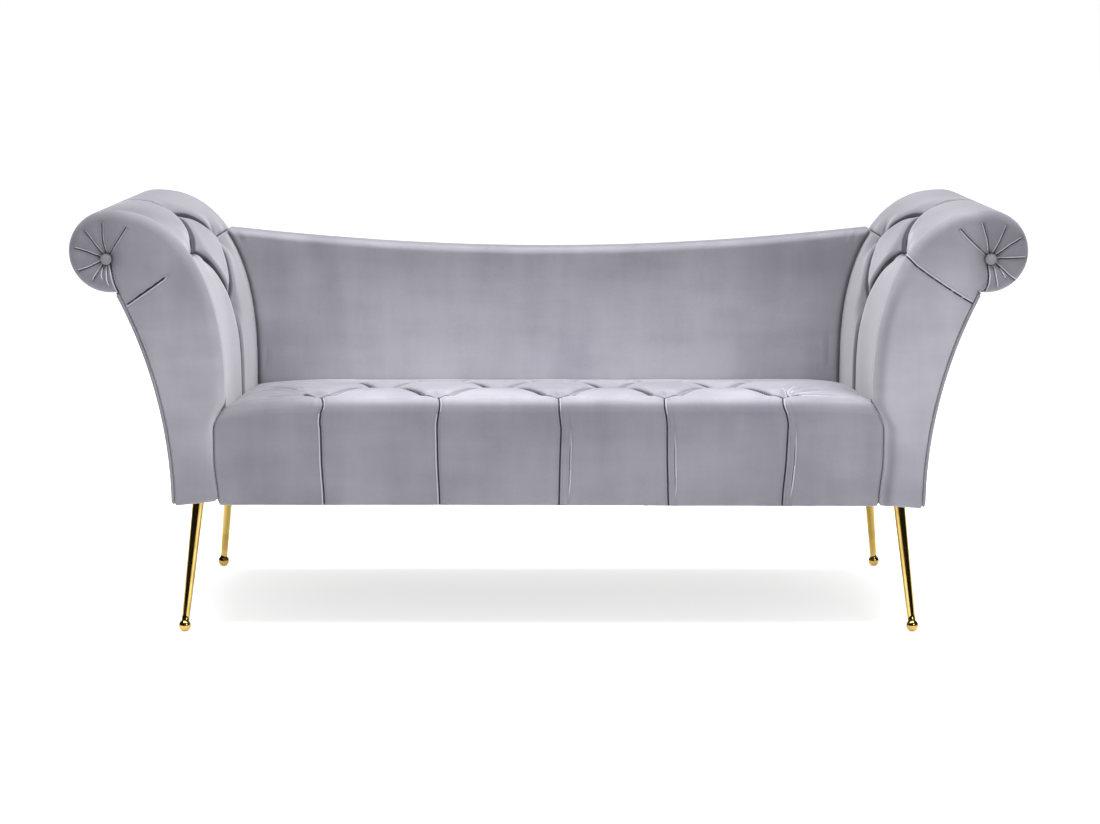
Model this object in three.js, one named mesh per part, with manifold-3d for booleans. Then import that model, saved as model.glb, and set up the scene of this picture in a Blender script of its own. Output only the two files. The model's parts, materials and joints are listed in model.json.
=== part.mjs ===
// A fainting couch: a velvet bench between two flared scroll arms, with a low dipped back, on four splayed legs
// that end in balls. Inside are a timber frame, sinuous springs, foam, plywood arm formers and bent arm panels.
// Millimetres. +X is the right as seen from the front, +Y runs to the back and +Z up.
// The origin is on the floor, under the middle of the couch.
import * as THREE from "three";
import { mergeVertices } from "three/addons/utils/BufferGeometryUtils.js";
import Module from "manifold-3d";

const wasm = await Module();
wasm.setup();

// Overall sizes
const overallWidth = 1700; // across the two rolls
const overallDepth = 580; // from the arms' front faces to their rear faces
const armTopHeight = 763;
const undersideHeight = 238; // floor to the bottom of the upholstery
const armOverallWidth = 272; // from an arm's inner side to the outside of its roll
const fitGap = 0.3; // where two fixed pieces meet
const softGap = 1.2; // where two soft pieces lie against each other
const cutOverrun = 5; // how far a cutting solid runs past what it cuts

// Arm: its section is the same from front to rear
const rollRadius = 73;
const armBaseWidth = 85;
const flareStartRise = 192; // the inner side is straight up to here, counted from the underside
const flareExponent = 2.3; // squareness of the curve from the inner side to the top
const notchAngle = THREE.MathUtils.degToRad(-97); // where the outer cover meets the roll
const padProud = 14; // the pad's thickness beside the seat
const padFullThickness = 30;
const padFullRise = 90; // the pad reaches its full thickness this far above the start of the flare
const padTailThickness = 12; // under the roll
const padTailLength = 110;
const bentPanelThickness = 3.5;
const formerThickness = 18;
const facingThickness = 22;
const outerCoverThickness = 4;
const pipingDiameter = 6.4;
const rollBattenSize = 34;
const armBaseRailHeight = 50;
const timberRise = 4; // the timber stops this far above the underside

// Tufting of an arm: one diamond, with straight pleats from its corners to the edges.
// Heights are shares of the arm's height over the underside.
const lowerTuftShare = 0.6343;
const sideTuftShare = 0.8514;
const crownTuftShare = 0.9695;
const sideTuftReach = 142; // from the middle of the arm's depth
const armPleatDepth = 10;
const armPinchDepth = 12;
const armPinchRadius = 26;
const armPillowWidth = 80;
const armEdgeFade = 55; // pleats fade out over this length towards the faces

// Facings: the padded front and rear faces, pleated round a button
const facingRounding = 19;
const facingSharpRounding = 4; // beside the seat and along the piping
const buttonDiameter = 20;
const buttonThickness = 8;
const buttonRim = 2.5; // thickness of the button's edge
const buttonOffset = 6; // from the roll's centre, away from the seat
const buttonDrop = 13;
const dimpleDepth = 11;
const dimpleReach = 26;
const facePleatDepth = 3.2;
const facePleatAngles = [128, 93, 60, 30, -8, -49, -88].map(THREE.MathUtils.degToRad);
const faceFanStart = THREE.MathUtils.degToRad(148);
const faceNeckShare = 0.8381; // where the crease across the face starts, as a share of the arm's height
const faceRoundingShares = [0, 0.15, 0.5, 1]; // lines of facets over a facing's rounded edge
const faceFlatShares = [0.4, 0.75]; // and between that edge and what lies further in

// Seat
const seatRecess = 2; // the front panel lies this far behind the arms' front faces
const seatPadThickness = 62; // over the foam, at the seat's highest line
const seatCrownSetback = 140; // from the front of the seat to its highest line
const seatFrontFall = 5; // from the highest line to the front edge
const seatRearFall = 46; // from the highest line to the back
const seatSideFallShare = 0.5; // share of the pad's height that is lost at the arms
const seatSideFallWidth = 110;
const seatCornerFall = 14; // more at the front corners
const seatCornerDepth = 120;
const seatEdgeRadius = 28;
const seatPanelThickness = 20;
const seatTuftSetback = 43; // from the front of the seat to its first row of tufts
const seatTuftRearSetback = 98.6; // from its last row to the back
const seatNeighbourShare = 0.3; // tufts of two rows that are closer than this are joined by a pleat
// Each row's tufts, hand-sewn and not quite even, as shares of half the seat's width
const seatTuftShares = [
  [-0.708, -0.348, 0.029, 0.369, 0.737],
  [-0.528, -0.16, 0.199, 0.553],
  [-0.7, -0.35, 0.02, 0.36, 0.72],
  [-0.53, -0.165, 0.19, 0.545],
];
const seatPleatDepth = 12;
const seatPinchDepth = 9;
const seatPinchRadius = 22;
const seatPillowWidth = 78;
const panelPleatDepth = 4;
const panelPleatWidth = 26;
const foamThickness = 29.6;

// Seat frame and springs
const railThickness = 25;
const railHeight = 78;
const crossRailHeight = 58;
const springWire = 3.8;
const springArch = 18;
const springEndMargin = 162; // from the arms to the outer springs
const springWidth = 42;
const springSquareness = 1.4; // how much further a spring's turns would swing if they weren't cut straight
const springBearing = 13; // how far a spring's ends lie over the rails
const springCount = 5;
const springLoops = 8;
const dustCoverThickness = 1.2;
const dustCoverMargin = 7;

// Back
const backRecess = 6.4; // from the arms' rear faces to the back's rear face
const backTopHeight = 652; // at the middle, where the top dips
const backTopDip = 38;
const backPadThickness = 28;
const backTopPadding = 18;
const backEdgeRadius = 26;
const backRearEdgeRadius = 8;
const backCrown = 5;
const backFrameDepth = 34;
const backCoverThickness = 5;
const backTopRailHeight = 62;
const backBottomRailHeight = 90;
const backUprightWidth = 58;
const backPadOverlap = 18; // how far the pad runs down behind the seat's rear edge

// Legs, plates and bolts
const legTopDiameter = 22;
const legBottomDiameter = 13.5;
const footDiameter = 22;
const footFlatRadius = 4;
const legSplaySideways = 25;
const legSplayForward = 37;
const legInset = 54; // from the arm's face to the leg's top
const studDiameter = 8;
const studRise = 30;
const studSink = 10;
const boreClearance = 0.3; // round a stud or a bolt
const plateWidth = 56;
const plateThickness = 3;
const plateHoleSpacing = 40;
const plateHoleDiameter = 5;
const plateCornerRadius = 6;
const boltDiameter = 8;
const boltHeadWidth = 13;
const boltHeadThickness = 5.3;
const boltGrip = 44; // how far a bolt reaches into the arm
const boltSpread = 300;
const boltHeight = 268;

// Facet counts
const roundSides = 16;
const wireSides = 5;
const boreSides = 10;
const hexSides = 6;

// Sizes worked out from those above
const halfDepth = overallDepth / 2;
const armRise = armTopHeight - undersideHeight;
const padFaceX = overallWidth / 2 - armOverallWidth;
const seatUnitHalf = padFaceX + padProud;
const armInnerX = seatUnitHalf + fitGap;
const armOuterX = seatUnitHalf + armBaseWidth;
const rollX = overallWidth / 2 - rollRadius;
const rollZ = armTopHeight - rollRadius;
const flareZ = undersideHeight + flareStartRise;
const timberBottom = undersideHeight + timberRise;
const facingBack = halfDepth - facingThickness; // distance from the middle to the plane behind a facing
const formerFront = facingBack - fitGap;
const formerBack = formerFront - formerThickness;
const seatFrontY = -halfDepth + seatRecess;
const backRearY = halfDepth - backRecess;
const backCoverY = backRearY - backCoverThickness;
const backFrameY = backCoverY - fitGap - backFrameDepth;
const backFaceY = backFrameY - fitGap - backPadThickness;
const seatRearY = backFaceY - 2 * softGap;
const railTop = timberBottom + railHeight;
const springZ = railTop + fitGap + springWire / 2;
const springPitch = (2 * (padFaceX - springEndMargin)) / (springCount - 1);
const crossRailX = springPitch;
const foamBottom = springZ + springArch + springWire / 2 + fitGap;
const foamTopHeight = foamBottom + foamThickness;
const seatCrownHeight = foamTopHeight + seatPadThickness;
const padFootZ = foamTopHeight + softGap;
const seatPanelBack = seatFrontY + seatPanelThickness;
const frontRailY = seatPanelBack + fitGap;
const rearRailY = backFrameY - fitGap - railThickness;
const endRailX = seatUnitHalf - railThickness;
const plateBottom = timberBottom - fitGap - plateThickness;
const legX = (armInnerX + armOuterX) / 2;
const legY = halfDepth - legInset;

const velvet = new THREE.MeshStandardMaterial({ color: 0x9b98a3, roughness: 0.85, metalness: 0 });
const timber = new THREE.MeshStandardMaterial({ color: 0xc8a877, roughness: 0.75, metalness: 0 });
const plywood = new THREE.MeshStandardMaterial({ color: 0xb8935f, roughness: 0.8, metalness: 0 });
const foam = new THREE.MeshStandardMaterial({ color: 0xe8e2cc, roughness: 0.95, metalness: 0 });
const blackCloth = new THREE.MeshStandardMaterial({ color: 0x17171a, roughness: 0.95, metalness: 0 });
const brassPlate = new THREE.MeshStandardMaterial({ color: 0xd9a945, roughness: 0.12, metalness: 1 });
const springSteel = new THREE.MeshStandardMaterial({ color: 0x5e6064, roughness: 0.4, metalness: 1 });
const zincSteel = new THREE.MeshStandardMaterial({ color: 0xb9bcc0, roughness: 0.35, metalness: 1 });

const { lerp, clamp } = THREE.MathUtils;
const smooth = (share) => THREE.MathUtils.smoothstep(share, 0, 1);
const point = (x, y, z) => new THREE.Vector3(x, y, z);
const steps = (from, to, count) => Array.from({ length: count + 1 }, (_, i) => lerp(from, to, i / count));

// Geometry from a list of triangles, turned to face outwards
function shell(triangles) {
  const open = triangles.filter(([a, b, c]) => !a.equals(b) && !b.equals(c) && !c.equals(a));
  const volume = open.reduce((sum, [a, b, c]) => sum + a.dot(b.clone().cross(c)), 0);
  const faces = volume > 0 ? open : turned(open);
  const geometry = new THREE.BufferGeometry().setFromPoints(faces.flat());
  geometry.computeVertexNormals();
  return geometry;
}

// The strip between two lines of points, which may differ in number
function strip(outer, inner) {
  const triangles = [];
  let i = 0;
  let j = 0;
  while (i < outer.length - 1 || j < inner.length - 1) {
    const outerFirst = (i + 1) / (outer.length - 1) <= (j + 1) / (inner.length - 1);
    if (i < outer.length - 1 && (outerFirst || j === inner.length - 1)) {
      triangles.push([outer[i], outer[i + 1], inner[j]]);
      i += 1;
    } else {
      triangles.push([outer[i], inner[j + 1], inner[j]]);
      j += 1;
    }
  }
  return triangles;
}

function turned(triangles) {
  return triangles.map(([a, b, c]) => [a, c, b]);
}

// The faces of a grid of points that looks outwards where its columns cross its rows.
// Each quad is split along its deeper diagonal, so that a slanting pleat stays one clean valley.
function gridFaces(rows) {
  return rows.slice(1).flatMap((row, i) =>
    row.slice(1).flatMap((d, j) => {
      const [a, b, c] = [rows[i][j], rows[i][j + 1], row[j]];
      const outward = b.clone().sub(a).cross(c.clone().sub(a));
      const deeper = a.clone().add(d).sub(b).sub(c).dot(outward) < 0;
      return deeper ? [[a, c, d], [a, d, b]] : [[a, c, b], [b, c, d]];
    }),
  );
}

const column = (rows, at) => rows.map((row) => row.at(at));

// A closed sheet between an outer and an inner grid of points, each a list of rows
function sheet(outer, inner) {
  return shell([
    ...gridFaces(outer),
    ...turned(gridFaces(inner)),
    ...strip(outer[0], inner[0]),
    ...turned(strip(outer.at(-1), inner.at(-1))),
    ...turned(strip(column(outer, 0), column(inner, 0))),
    ...strip(column(outer, -1), column(inner, -1)),
  ]);
}

function block([x0, x1], [y0, y1], [z0, z1]) {
  return new THREE.BoxGeometry(x1 - x0, y1 - y0, z1 - z0).translate((x0 + x1) / 2, (y0 + y1) / 2, (z0 + z1) / 2);
}

// An outline of [x, z] points, extruded along Y
function board(outline, [y0, y1]) {
  const shape = new THREE.Shape(outline.map(([x, z]) => new THREE.Vector2(x, z)));
  const geometry = new THREE.ExtrudeGeometry(shape, { depth: y1 - y0, bevelEnabled: false });
  return geometry.rotateX(Math.PI / 2).translate(0, y1, 0);
}

// A body turned about the Z axis, from [radius, height] points
function turning(profile, sides = roundSides) {
  return new THREE.LatheGeometry(
    profile.map(([radius, height]) => new THREE.Vector2(radius, height)),
    sides,
  ).rotateX(Math.PI / 2);
}

function rod(radius, [z0, z1], sides = boreSides) {
  return turning(
    [
      [0, z0],
      [radius, z0],
      [radius, z1],
      [0, z1],
    ],
    sides,
  );
}

function solid(geometry) {
  const bare = geometry.index ? geometry.toNonIndexed() : geometry.clone();
  bare.deleteAttribute("normal");
  bare.deleteAttribute("uv");
  const merged = mergeVertices(bare);
  return new wasm.Manifold(
    new wasm.Mesh({
      numProp: 3,
      vertProperties: merged.attributes.position.array,
      triVerts: new Uint32Array(merged.index.array),
    }),
  );
}

function geometryOf(manifold) {
  const mesh = manifold.getMesh();
  const geometry = new THREE.BufferGeometry();
  geometry.setAttribute("position", new THREE.BufferAttribute(mesh.vertProperties.slice(), 3));
  geometry.setIndex(new THREE.BufferAttribute(mesh.triVerts.slice(), 1));
  return geometry;
}

const cut = (geometry, ...tools) =>
  geometryOf(tools.reduce((body, tool) => body.subtract(solid(tool)), solid(geometry)));

const join = (geometry, ...others) =>
  geometryOf(others.reduce((body, other) => body.add(solid(other)), solid(geometry)));

// A copy mirrored in X or Y, with its faces still pointing out
function mirrored(geometry, signX, signY) {
  const copy = geometry.index ? geometry.toNonIndexed() : geometry.clone();
  copy.scale(signX, signY, 1);
  const { array } = copy.attributes.position;
  for (let i = 0; signX * signY < 0 && i < array.length; i += 9) {
    const first = array.slice(i, i + 3);
    array.set(array.slice(i + 3, i + 6), i);
    array.set(first, i + 3);
  }
  copy.computeVertexNormals();
  return copy;
}

// How far a pillow's skin is drawn in near a pleat: nothing at the pillow's middle, all of it on the pleat
function pleatDraw(distance, { depth, width }) {
  const share = 1 - clamp(distance / width, 0, 1);
  return depth * (1 - Math.sqrt(1 - share * share));
}

function distanceToSegment([px, py], [ax, ay], [bx, by]) {
  const size = (bx - ax) ** 2 + (by - ay) ** 2;
  const along = clamp(((px - ax) * (bx - ax) + (py - ay) * (by - ay)) / size, 0, 1);
  return Math.hypot(px - lerp(ax, bx, along), py - lerp(ay, by, along));
}

// Tufting on a flat plan: pleats are segments with a depth and a width, pinches are points
function tuftDraw(at, { pleats, pinches, pinchDepth, pinchRadius }) {
  const drawn = pleats.map((pleat) => pleatDraw(distanceToSegment(at, pleat.from, pleat.to), pleat));
  const pinched = pinches.map(([x, y]) => Math.exp(-((at[0] - x) ** 2 + (at[1] - y) ** 2) / pinchRadius ** 2));
  return Math.max(...drawn) + pinchDepth * Math.max(...pinched);
}

// A path in a plane, measured along its length
class Route {
  constructor(points) {
    this.points = points;
    this.reach = [0];
    points.slice(1).forEach(([x, z], i) => {
      this.reach.push(this.reach[i] + Math.hypot(x - points[i][0], z - points[i][1]));
    });
    this.length = this.reach.at(-1);
  }

  // Place and outward normal at a length along the path
  at(length) {
    const found = this.reach.findIndex((reach) => reach >= length);
    const i = clamp(found < 0 ? this.points.length - 1 : found, 1, this.points.length - 1);
    const share = clamp((length - this.reach[i - 1]) / (this.reach[i] - this.reach[i - 1]), 0, 1);
    const [x0, z0] = this.points[i - 1];
    const [x1, z1] = this.points[i];
    const size = Math.hypot(x1 - x0, z1 - z0);
    return { x: lerp(x0, x1, share), z: lerp(z0, z1, share), nx: -(z1 - z0) / size, nz: (x1 - x0) / size };
  }

  // Length along the path of its first point that passes a test
  lengthTo(passes) {
    return this.reach[this.points.findIndex(passes)];
  }
}

// The arm's section
const outerRadius = (() => {
  const rise = rollZ + rollRadius * Math.sin(notchAngle) - undersideHeight;
  const reach = rollX + rollRadius * Math.cos(notchAngle) - armOuterX;
  return (rise ** 2 + reach ** 2) / (2 * reach);
})();

// The arm's inner side at a height
function flareX(z) {
  const share = clamp((z - flareZ) / (armTopHeight - flareZ), 0, 1);
  return rollX - (rollX - padFaceX) * (1 - share ** flareExponent) ** (1 / flareExponent);
}

// The facings' inner edges: beside the seat they step back, to let the seat's front panel in
const stepShare = (z) => smooth((flareZ - z) / (flareZ - foamTopHeight));
const innerEdgeX = (z) => flareX(z) + (seatUnitHalf + softGap - padFaceX) * stepShare(z);

// The outer side of the arm at a height, a given distance inside the cover's face
function outerX(z, inset) {
  return armOuterX + outerRadius - Math.sqrt((outerRadius + inset) ** 2 - (z - undersideHeight) ** 2);
}

// Height at which the outer side, inset by a distance, comes within a clearance of the roll
function outerTop(inset, clearance) {
  const near = (z) => Math.hypot(outerX(z, inset) - rollX, z - rollZ) < rollRadius + clearance;
  let [low, high] = [undersideHeight, rollZ];
  for (let i = 0; i < 40; i += 1) {
    const middle = (low + high) / 2;
    [low, high] = near(middle) ? [low, middle] : [middle, high];
  }
  return low;
}

const armRoute = new Route([
  [padFaceX, timberBottom],
  [padFaceX, flareZ],
  ...steps(0, Math.PI / 2, 120)
    .slice(1, -1)
    .map((angle) => [
      rollX - (rollX - padFaceX) * Math.cos(angle) ** (2 / flareExponent),
      flareZ + (armTopHeight - flareZ) * Math.sin(angle) ** (2 / flareExponent),
    ]),
  ...steps(Math.PI / 2, notchAngle, 90).map((angle) => [
    rollX + rollRadius * Math.cos(angle),
    rollZ + rollRadius * Math.sin(angle),
  ]),
]);
const lengthAtHeight = (height) => armRoute.lengthTo(([, z]) => z >= height);
const flareLength = flareZ - timberBottom;
const footLength = padFootZ - timberBottom;
const crestIndex = armRoute.points.findIndex(([x]) => x >= rollX);

// Thickness of the pad along the arm's route
function padThickness(length) {
  const grown = smooth((length - flareLength) / padFullRise);
  const tail = smooth((armRoute.length - length) / padTailLength);
  return lerp(padTailThickness, lerp(padProud, padFullThickness, grown), tail);
}

// A point under the arm's skin, a further depth behind the pad
function underPad(length, depth) {
  const { x, z, nx, nz } = armRoute.at(length);
  const inset = padThickness(length) + depth;
  return [x - nx * inset, z - nz * inset];
}

const lowerTuft = [lengthAtHeight(undersideHeight + lowerTuftShare * armRise), 0];
const frontTuft = [lengthAtHeight(undersideHeight + sideTuftShare * armRise), -sideTuftReach];
const rearTuft = [frontTuft[0], sideTuftReach];
const crownTuft = [lengthAtHeight(undersideHeight + crownTuftShare * armRise), 0];
const armPleats = [
  [lowerTuft, frontTuft],
  [lowerTuft, rearTuft],
  [frontTuft, crownTuft],
  [rearTuft, crownTuft],
  [lowerTuft, [footLength, 0]],
  [crownTuft, [armRoute.length, 0]],
  [frontTuft, [frontTuft[0], -formerFront]],
  [rearTuft, [rearTuft[0], formerFront]],
];
const armTufting = {
  pleats: armPleats.map(([from, to]) => ({ from, to, depth: armPleatDepth, width: armPillowWidth })),
  pinches: [lowerTuft, frontTuft, rearTuft, crownTuft],
  pinchDepth: armPinchDepth,
  pinchRadius: armPinchRadius,
};

// The rows of the pad, which pass through the tufts and which the panel and the formers share
const armRows = [
  ...steps(footLength, lowerTuft[0], 6),
  ...steps(lowerTuft[0], frontTuft[0], 5).slice(1),
  ...steps(frontTuft[0], crownTuft[0], 5).slice(1),
  ...steps(crownTuft[0], armRoute.length, 13).slice(1),
];

function armPad() {
  const half = [...steps(0, sideTuftReach, 5), ...steps(sideTuftReach, formerFront, 4).slice(1)];
  const depths = [...half.slice(1).reverse(), ...half.map((y) => -y)];
  const outer = armRows.map((length) => {
    const { x, z, nx, nz } = armRoute.at(length);
    return depths.map((y) => {
      const fade = smooth((formerFront - Math.abs(y)) / armEdgeFade);
      const drawn = fade * tuftDraw([length, y], armTufting);
      return point(x - nx * drawn, y, z - nz * drawn);
    });
  });
  const inner = armRows.map((length) => {
    const [x, z] = underPad(length, 0);
    return [formerFront, -formerFront].map((y) => point(x, y, z));
  });
  return sheet(outer, inner);
}

// Bores for the bolts that hold an arm to the seat, from inside the seat frame to their tips
const boltPlaces = [-boltSpread / 2, boltSpread / 2];

function boltBores() {
  const span = [endRailX - cutOverrun, armInnerX + boltGrip + fitGap];
  return boltPlaces.map((y) =>
    rod(boltDiameter / 2 + boreClearance, span)
      .rotateY(Math.PI / 2)
      .translate(0, y, boltHeight),
  );
}

// The panel bent round the arm's formers, under the pad
function bentPanel() {
  const face = (depth) =>
    [0, ...armRows].map((length) => {
      const [x, z] = underPad(length, depth);
      return [-formerFront, formerFront].map((y) => point(x, y, z));
    });
  return cut(sheet(face(fitGap), face(fitGap + bentPanelThickness)), ...boltBores());
}

const timberInset = 2 * fitGap + bentPanelThickness;
const timberOuterInset = outerCoverThickness + fitGap;

// The arm's profile board, inside the panel and the outer cover
function former() {
  const inner = [0, ...armRows].map((length) => underPad(length, timberInset));
  const outer = steps(outerTop(timberOuterInset, softGap), timberBottom, 12).map((z) => [
    outerX(z, timberOuterInset),
    z,
  ]);
  return board([...inner, ...outer], [-formerFront, -formerBack]);
}

function armBaseRail() {
  const inner = armInnerX + bentPanelThickness + fitGap;
  const top = timberBottom + armBaseRailHeight;
  const heights = steps(timberBottom, top, 3);
  const outline = [[inner, top], [inner, timberBottom], ...heights.map((z) => [outerX(z, timberOuterInset), z])];
  const end = formerBack - fitGap;
  const tip = [timberBottom - cutOverrun, plateBottom + studRise + fitGap];
  const studBores = [-legY, legY].map((y) => rod(studDiameter / 2 + boreClearance, tip).translate(legX, y, 0));
  return cut(board(outline, [-end, end]), ...boltBores(), ...studBores);
}

function rollBatten() {
  const [half, end] = [rollBattenSize / 2, formerBack - fitGap];
  return block([rollX - half, rollX + half], [-end, end], [rollZ - half, rollZ + half]);
}

function outerCover() {
  const end = halfDepth - pipingDiameter - fitGap;
  const face = (inset) =>
    steps(undersideHeight, outerTop(inset, softGap), 14).map((z) =>
      [-end, end].map((y) => point(outerX(z, inset), y, z)),
    );
  return sheet(face(0), face(outerCoverThickness));
}

// The welt cord along the outer edge of a facing
function piping() {
  const radius = pipingDiameter / 2;
  const top = outerTop(radius, radius + softGap);
  const places = steps(undersideHeight, top, 10).map((z) => point(outerX(z, radius), radius - halfDepth, z));
  return new THREE.ExtrudeGeometry(new THREE.Shape().absarc(0, 0, radius - fitGap / 2, 0, 2 * Math.PI), {
    steps: 14,
    curveSegments: 4,
    bevelEnabled: false,
    extrudePath: new THREE.CatmullRomCurve3(places),
  });
}

const buttonX = rollX + buttonOffset;
const buttonZ = rollZ - buttonDrop;

function buttonCap() {
  const [radius, crown] = [buttonDiameter / 2, buttonThickness - buttonRim];
  const dome = steps(0, Math.PI / 2, 4).map((angle) => [
    radius * Math.cos(angle),
    buttonRim + crown * Math.sin(angle),
  ]);
  return turning([[0, 0], [radius, 0], ...dome.slice(0, -1), [0, buttonThickness]])
    .rotateX(Math.PI / 2)
    .translate(buttonX, dimpleDepth - fitGap - halfDepth, buttonZ);
}

// How far a rounded edge lies behind the flat of its face
function edgeDrop(distance, radius) {
  return distance >= radius ? 0 : radius - Math.sqrt(radius ** 2 - (radius - distance) ** 2);
}

// A facing is laid out in stations, lines over the face that start on its inner edge. In the body they end
// at the piping, in the neck on the seam from the piping to the button, and round the roll on the button.
class Facing {
  constructor() {
    this.outerInset = pipingDiameter + fitGap;
    this.outerEnd = outerTop(this.outerInset, 0);
    this.seamStart = [outerX(this.outerEnd, this.outerInset), this.outerEnd];
    this.centre = [buttonX, buttonZ];
    this.seatRadius = buttonDiameter / 2 + 2 * softGap;
  }

  // Direction of a point from the button, continuous from the inner side over the top to the underside
  angleTo([x, z], index) {
    const angle = Math.atan2(z - buttonZ, x - buttonX);
    return index < crestIndex && angle < 0 ? angle + 2 * Math.PI : angle;
  }

  lengthAtAngle(angle) {
    return armRoute.reach[armRoute.points.findIndex((place, i) => this.angleTo(place, i) <= angle)];
  }

  edge(length) {
    const { x, z } = armRoute.at(length);
    return [length < flareLength ? innerEdgeX(z) : x, z];
  }

  rounding(length) {
    return lerp(facingRounding, facingSharpRounding, stepShare(timberBottom + length));
  }

  // Points from one place on the face to another, closer together where the face rounds over
  station(from, to, radius, [reach, rim], farDrop) {
    const span = Math.hypot(to[0] - from[0], to[1] - from[1]);
    const rounded = faceRoundingShares.map((share) => share * radius);
    const flat = faceFlatShares.map((share) => lerp(radius, span - reach, share));
    const places = [...rounded, ...flat, span - reach, span - rim, span];
    return places.map((place) => {
      const [x, z] = [0, 1].map((i) => lerp(from[i], to[i], place / span));
      const dimple = this.dimple(Math.hypot(x - buttonX, z - buttonZ));
      return point(x, Math.max(edgeDrop(place, radius), farDrop(span - place), dimple) - halfDepth, z);
    });
  }

  dimple(distance) {
    const share = clamp((distance - this.seatRadius) / dimpleReach, 0, 1);
    return dimpleDepth * (1 - Math.sin((share * Math.PI) / 2));
  }

  // Round the roll: pleats at the named angles, and a full crown between them
  fan() {
    const seamAngle = this.angleTo(this.seamStart, armRoute.points.length);
    const pleats = [faceFanStart, ...facePleatAngles, seamAngle];
    const crowns = pleats.slice(1).map((angle, i) => (angle + pleats[i]) / 2);
    const reaches = [dimpleReach + this.seatRadius, this.seatRadius];
    return [...pleats, ...crowns]
      .sort((a, b) => b - a)
      .map((angle) => {
        const onSeam = angle === seamAngle;
        const pleated = onSeam || facePleatAngles.includes(angle) ? facePleatDepth : 0;
        const drop = (distance) => this.dimple(distance) + pleated * smooth(distance / dimpleReach);
        const from = onSeam ? this.seamStart : this.edge(this.lengthAtAngle(angle));
        return this.station(from, this.centre, onSeam ? facingSharpRounding : facingRounding, reaches, drop);
      });
  }

  body(neckLength, seam) {
    const reaches = [3 * facingSharpRounding, facingSharpRounding / 2];
    const drop = (distance) => edgeDrop(distance, facingSharpRounding);
    const stepLength = foamTopHeight - timberBottom;
    const lengths = [
      ...steps(0, stepLength, 3),
      ...steps(stepLength, flareLength, 3).slice(1),
      ...steps(flareLength, neckLength, 4).slice(1),
    ];
    const lines = lengths.map((length) => {
      const from = length ? this.edge(length) : [innerEdgeX(undersideHeight), undersideHeight];
      const outerZ = lerp(undersideHeight, this.outerEnd, length / neckLength);
      const to = [outerX(outerZ, this.outerInset), outerZ];
      return this.station(from, to, this.rounding(length), reaches, drop);
    });
    lines.at(-1)[seam.length - 1] = seam[0];
    return lines;
  }

  neck(neckLength, fanLength, seam) {
    const lengths = steps(neckLength, fanLength, seam.length - 1);
    return seam.slice(1, -1).map((end, i) => {
      const drop = (distance) => (end.y + halfDepth) * (1 - smooth(distance / dimpleReach));
      const reaches = [dimpleReach, dimpleReach / 2];
      const line = this.station(this.edge(lengths[i + 1]), [end.x, end.z], facingRounding, reaches, drop);
      return [...line.slice(0, -1), end];
    });
  }

  // The face, its rim and the flat back
  geometry() {
    const fan = this.fan();
    const seam = fan.at(-1);
    const neckLength = lengthAtHeight(undersideHeight + faceNeckShare * armRise);
    const body = this.body(neckLength, seam);
    const neck = this.neck(neckLength, this.lengthAtAngle(faceFanStart), seam);
    const stations = [...body, ...neck, ...fan];
    const outerEdge = column(body.slice(0, -1), -1).reverse();
    const rim = [...column(stations, 0), ...outerEdge, ...stations[0].slice(1, -1).reverse()];
    const behind = rim.map((place) => point(place.x, -facingBack, place.z));
    const walls = rim.flatMap((place, i) => {
      const next = (i + 1) % rim.length;
      return [
        [place, behind[i], rim[next]],
        [rim[next], behind[i], behind[next]],
      ];
    });
    const flat = rim.map(({ x, z }) => new THREE.Vector2(x, z));
    const faces = THREE.ShapeUtils.triangulateShape(flat, []);
    const area = faces.reduce((sum, face) => sum + THREE.ShapeUtils.area(face.map((i) => flat[i])), 0);
    const same = area * THREE.ShapeUtils.area(flat) > 0;
    const back = faces.map((face) => (same ? face.toReversed() : face).map((i) => behind[i]));
    return shell([...gridFaces(stations), ...walls, ...back]);
  }
}

// Seat pad
const seatTopHalf = padFaceX - softGap;
const seatLength = seatRearY - seatFrontY;
const seatTuftPitch = (seatLength - seatTuftSetback - seatTuftRearSetback) / (seatTuftShares.length - 1);
const seatTufts = seatTuftShares.map((shares, row) =>
  shares.map((share) => [share * seatTopHalf, seatTuftSetback + row * seatTuftPitch]),
);

function seatPleats() {
  const pleat = (from, to, depth = seatPleatDepth, width = seatPillowWidth) => ({ from, to, depth, width });
  const diamonds = seatTufts.slice(1).flatMap((row, i) =>
    row.flatMap((tuft) =>
      seatTufts[i]
        .filter(([x]) => Math.abs(x - tuft[0]) < seatNeighbourShare * seatTopHalf)
        .map((other) => pleat(other, tuft)),
    ),
  );
  const folds = seatTufts[0].flatMap((tuft) => [
    pleat(tuft, [tuft[0], 0], (seatPleatDepth + panelPleatDepth) / 2, (seatPillowWidth + panelPleatWidth) / 2),
    pleat([tuft[0], 0], [tuft[0], undersideHeight - seatCrownHeight], panelPleatDepth, panelPleatWidth),
  ]);
  const rear = seatTufts.at(-1).map((tuft) => pleat(tuft, [tuft[0], seatLength]));
  const outermost = [seatTufts[2][0], seatTufts[2].at(-1)];
  const sides = outermost.map(([x, setback]) => pleat([x, setback], [Math.sign(x) * padFaceX, setback]));
  return [...diamonds, ...folds, ...rear, ...sides];
}

const seatTufting = {
  pleats: seatPleats(),
  pinches: seatTufts.flat(),
  pinchDepth: seatPinchDepth,
  pinchRadius: seatPinchRadius,
};

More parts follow.
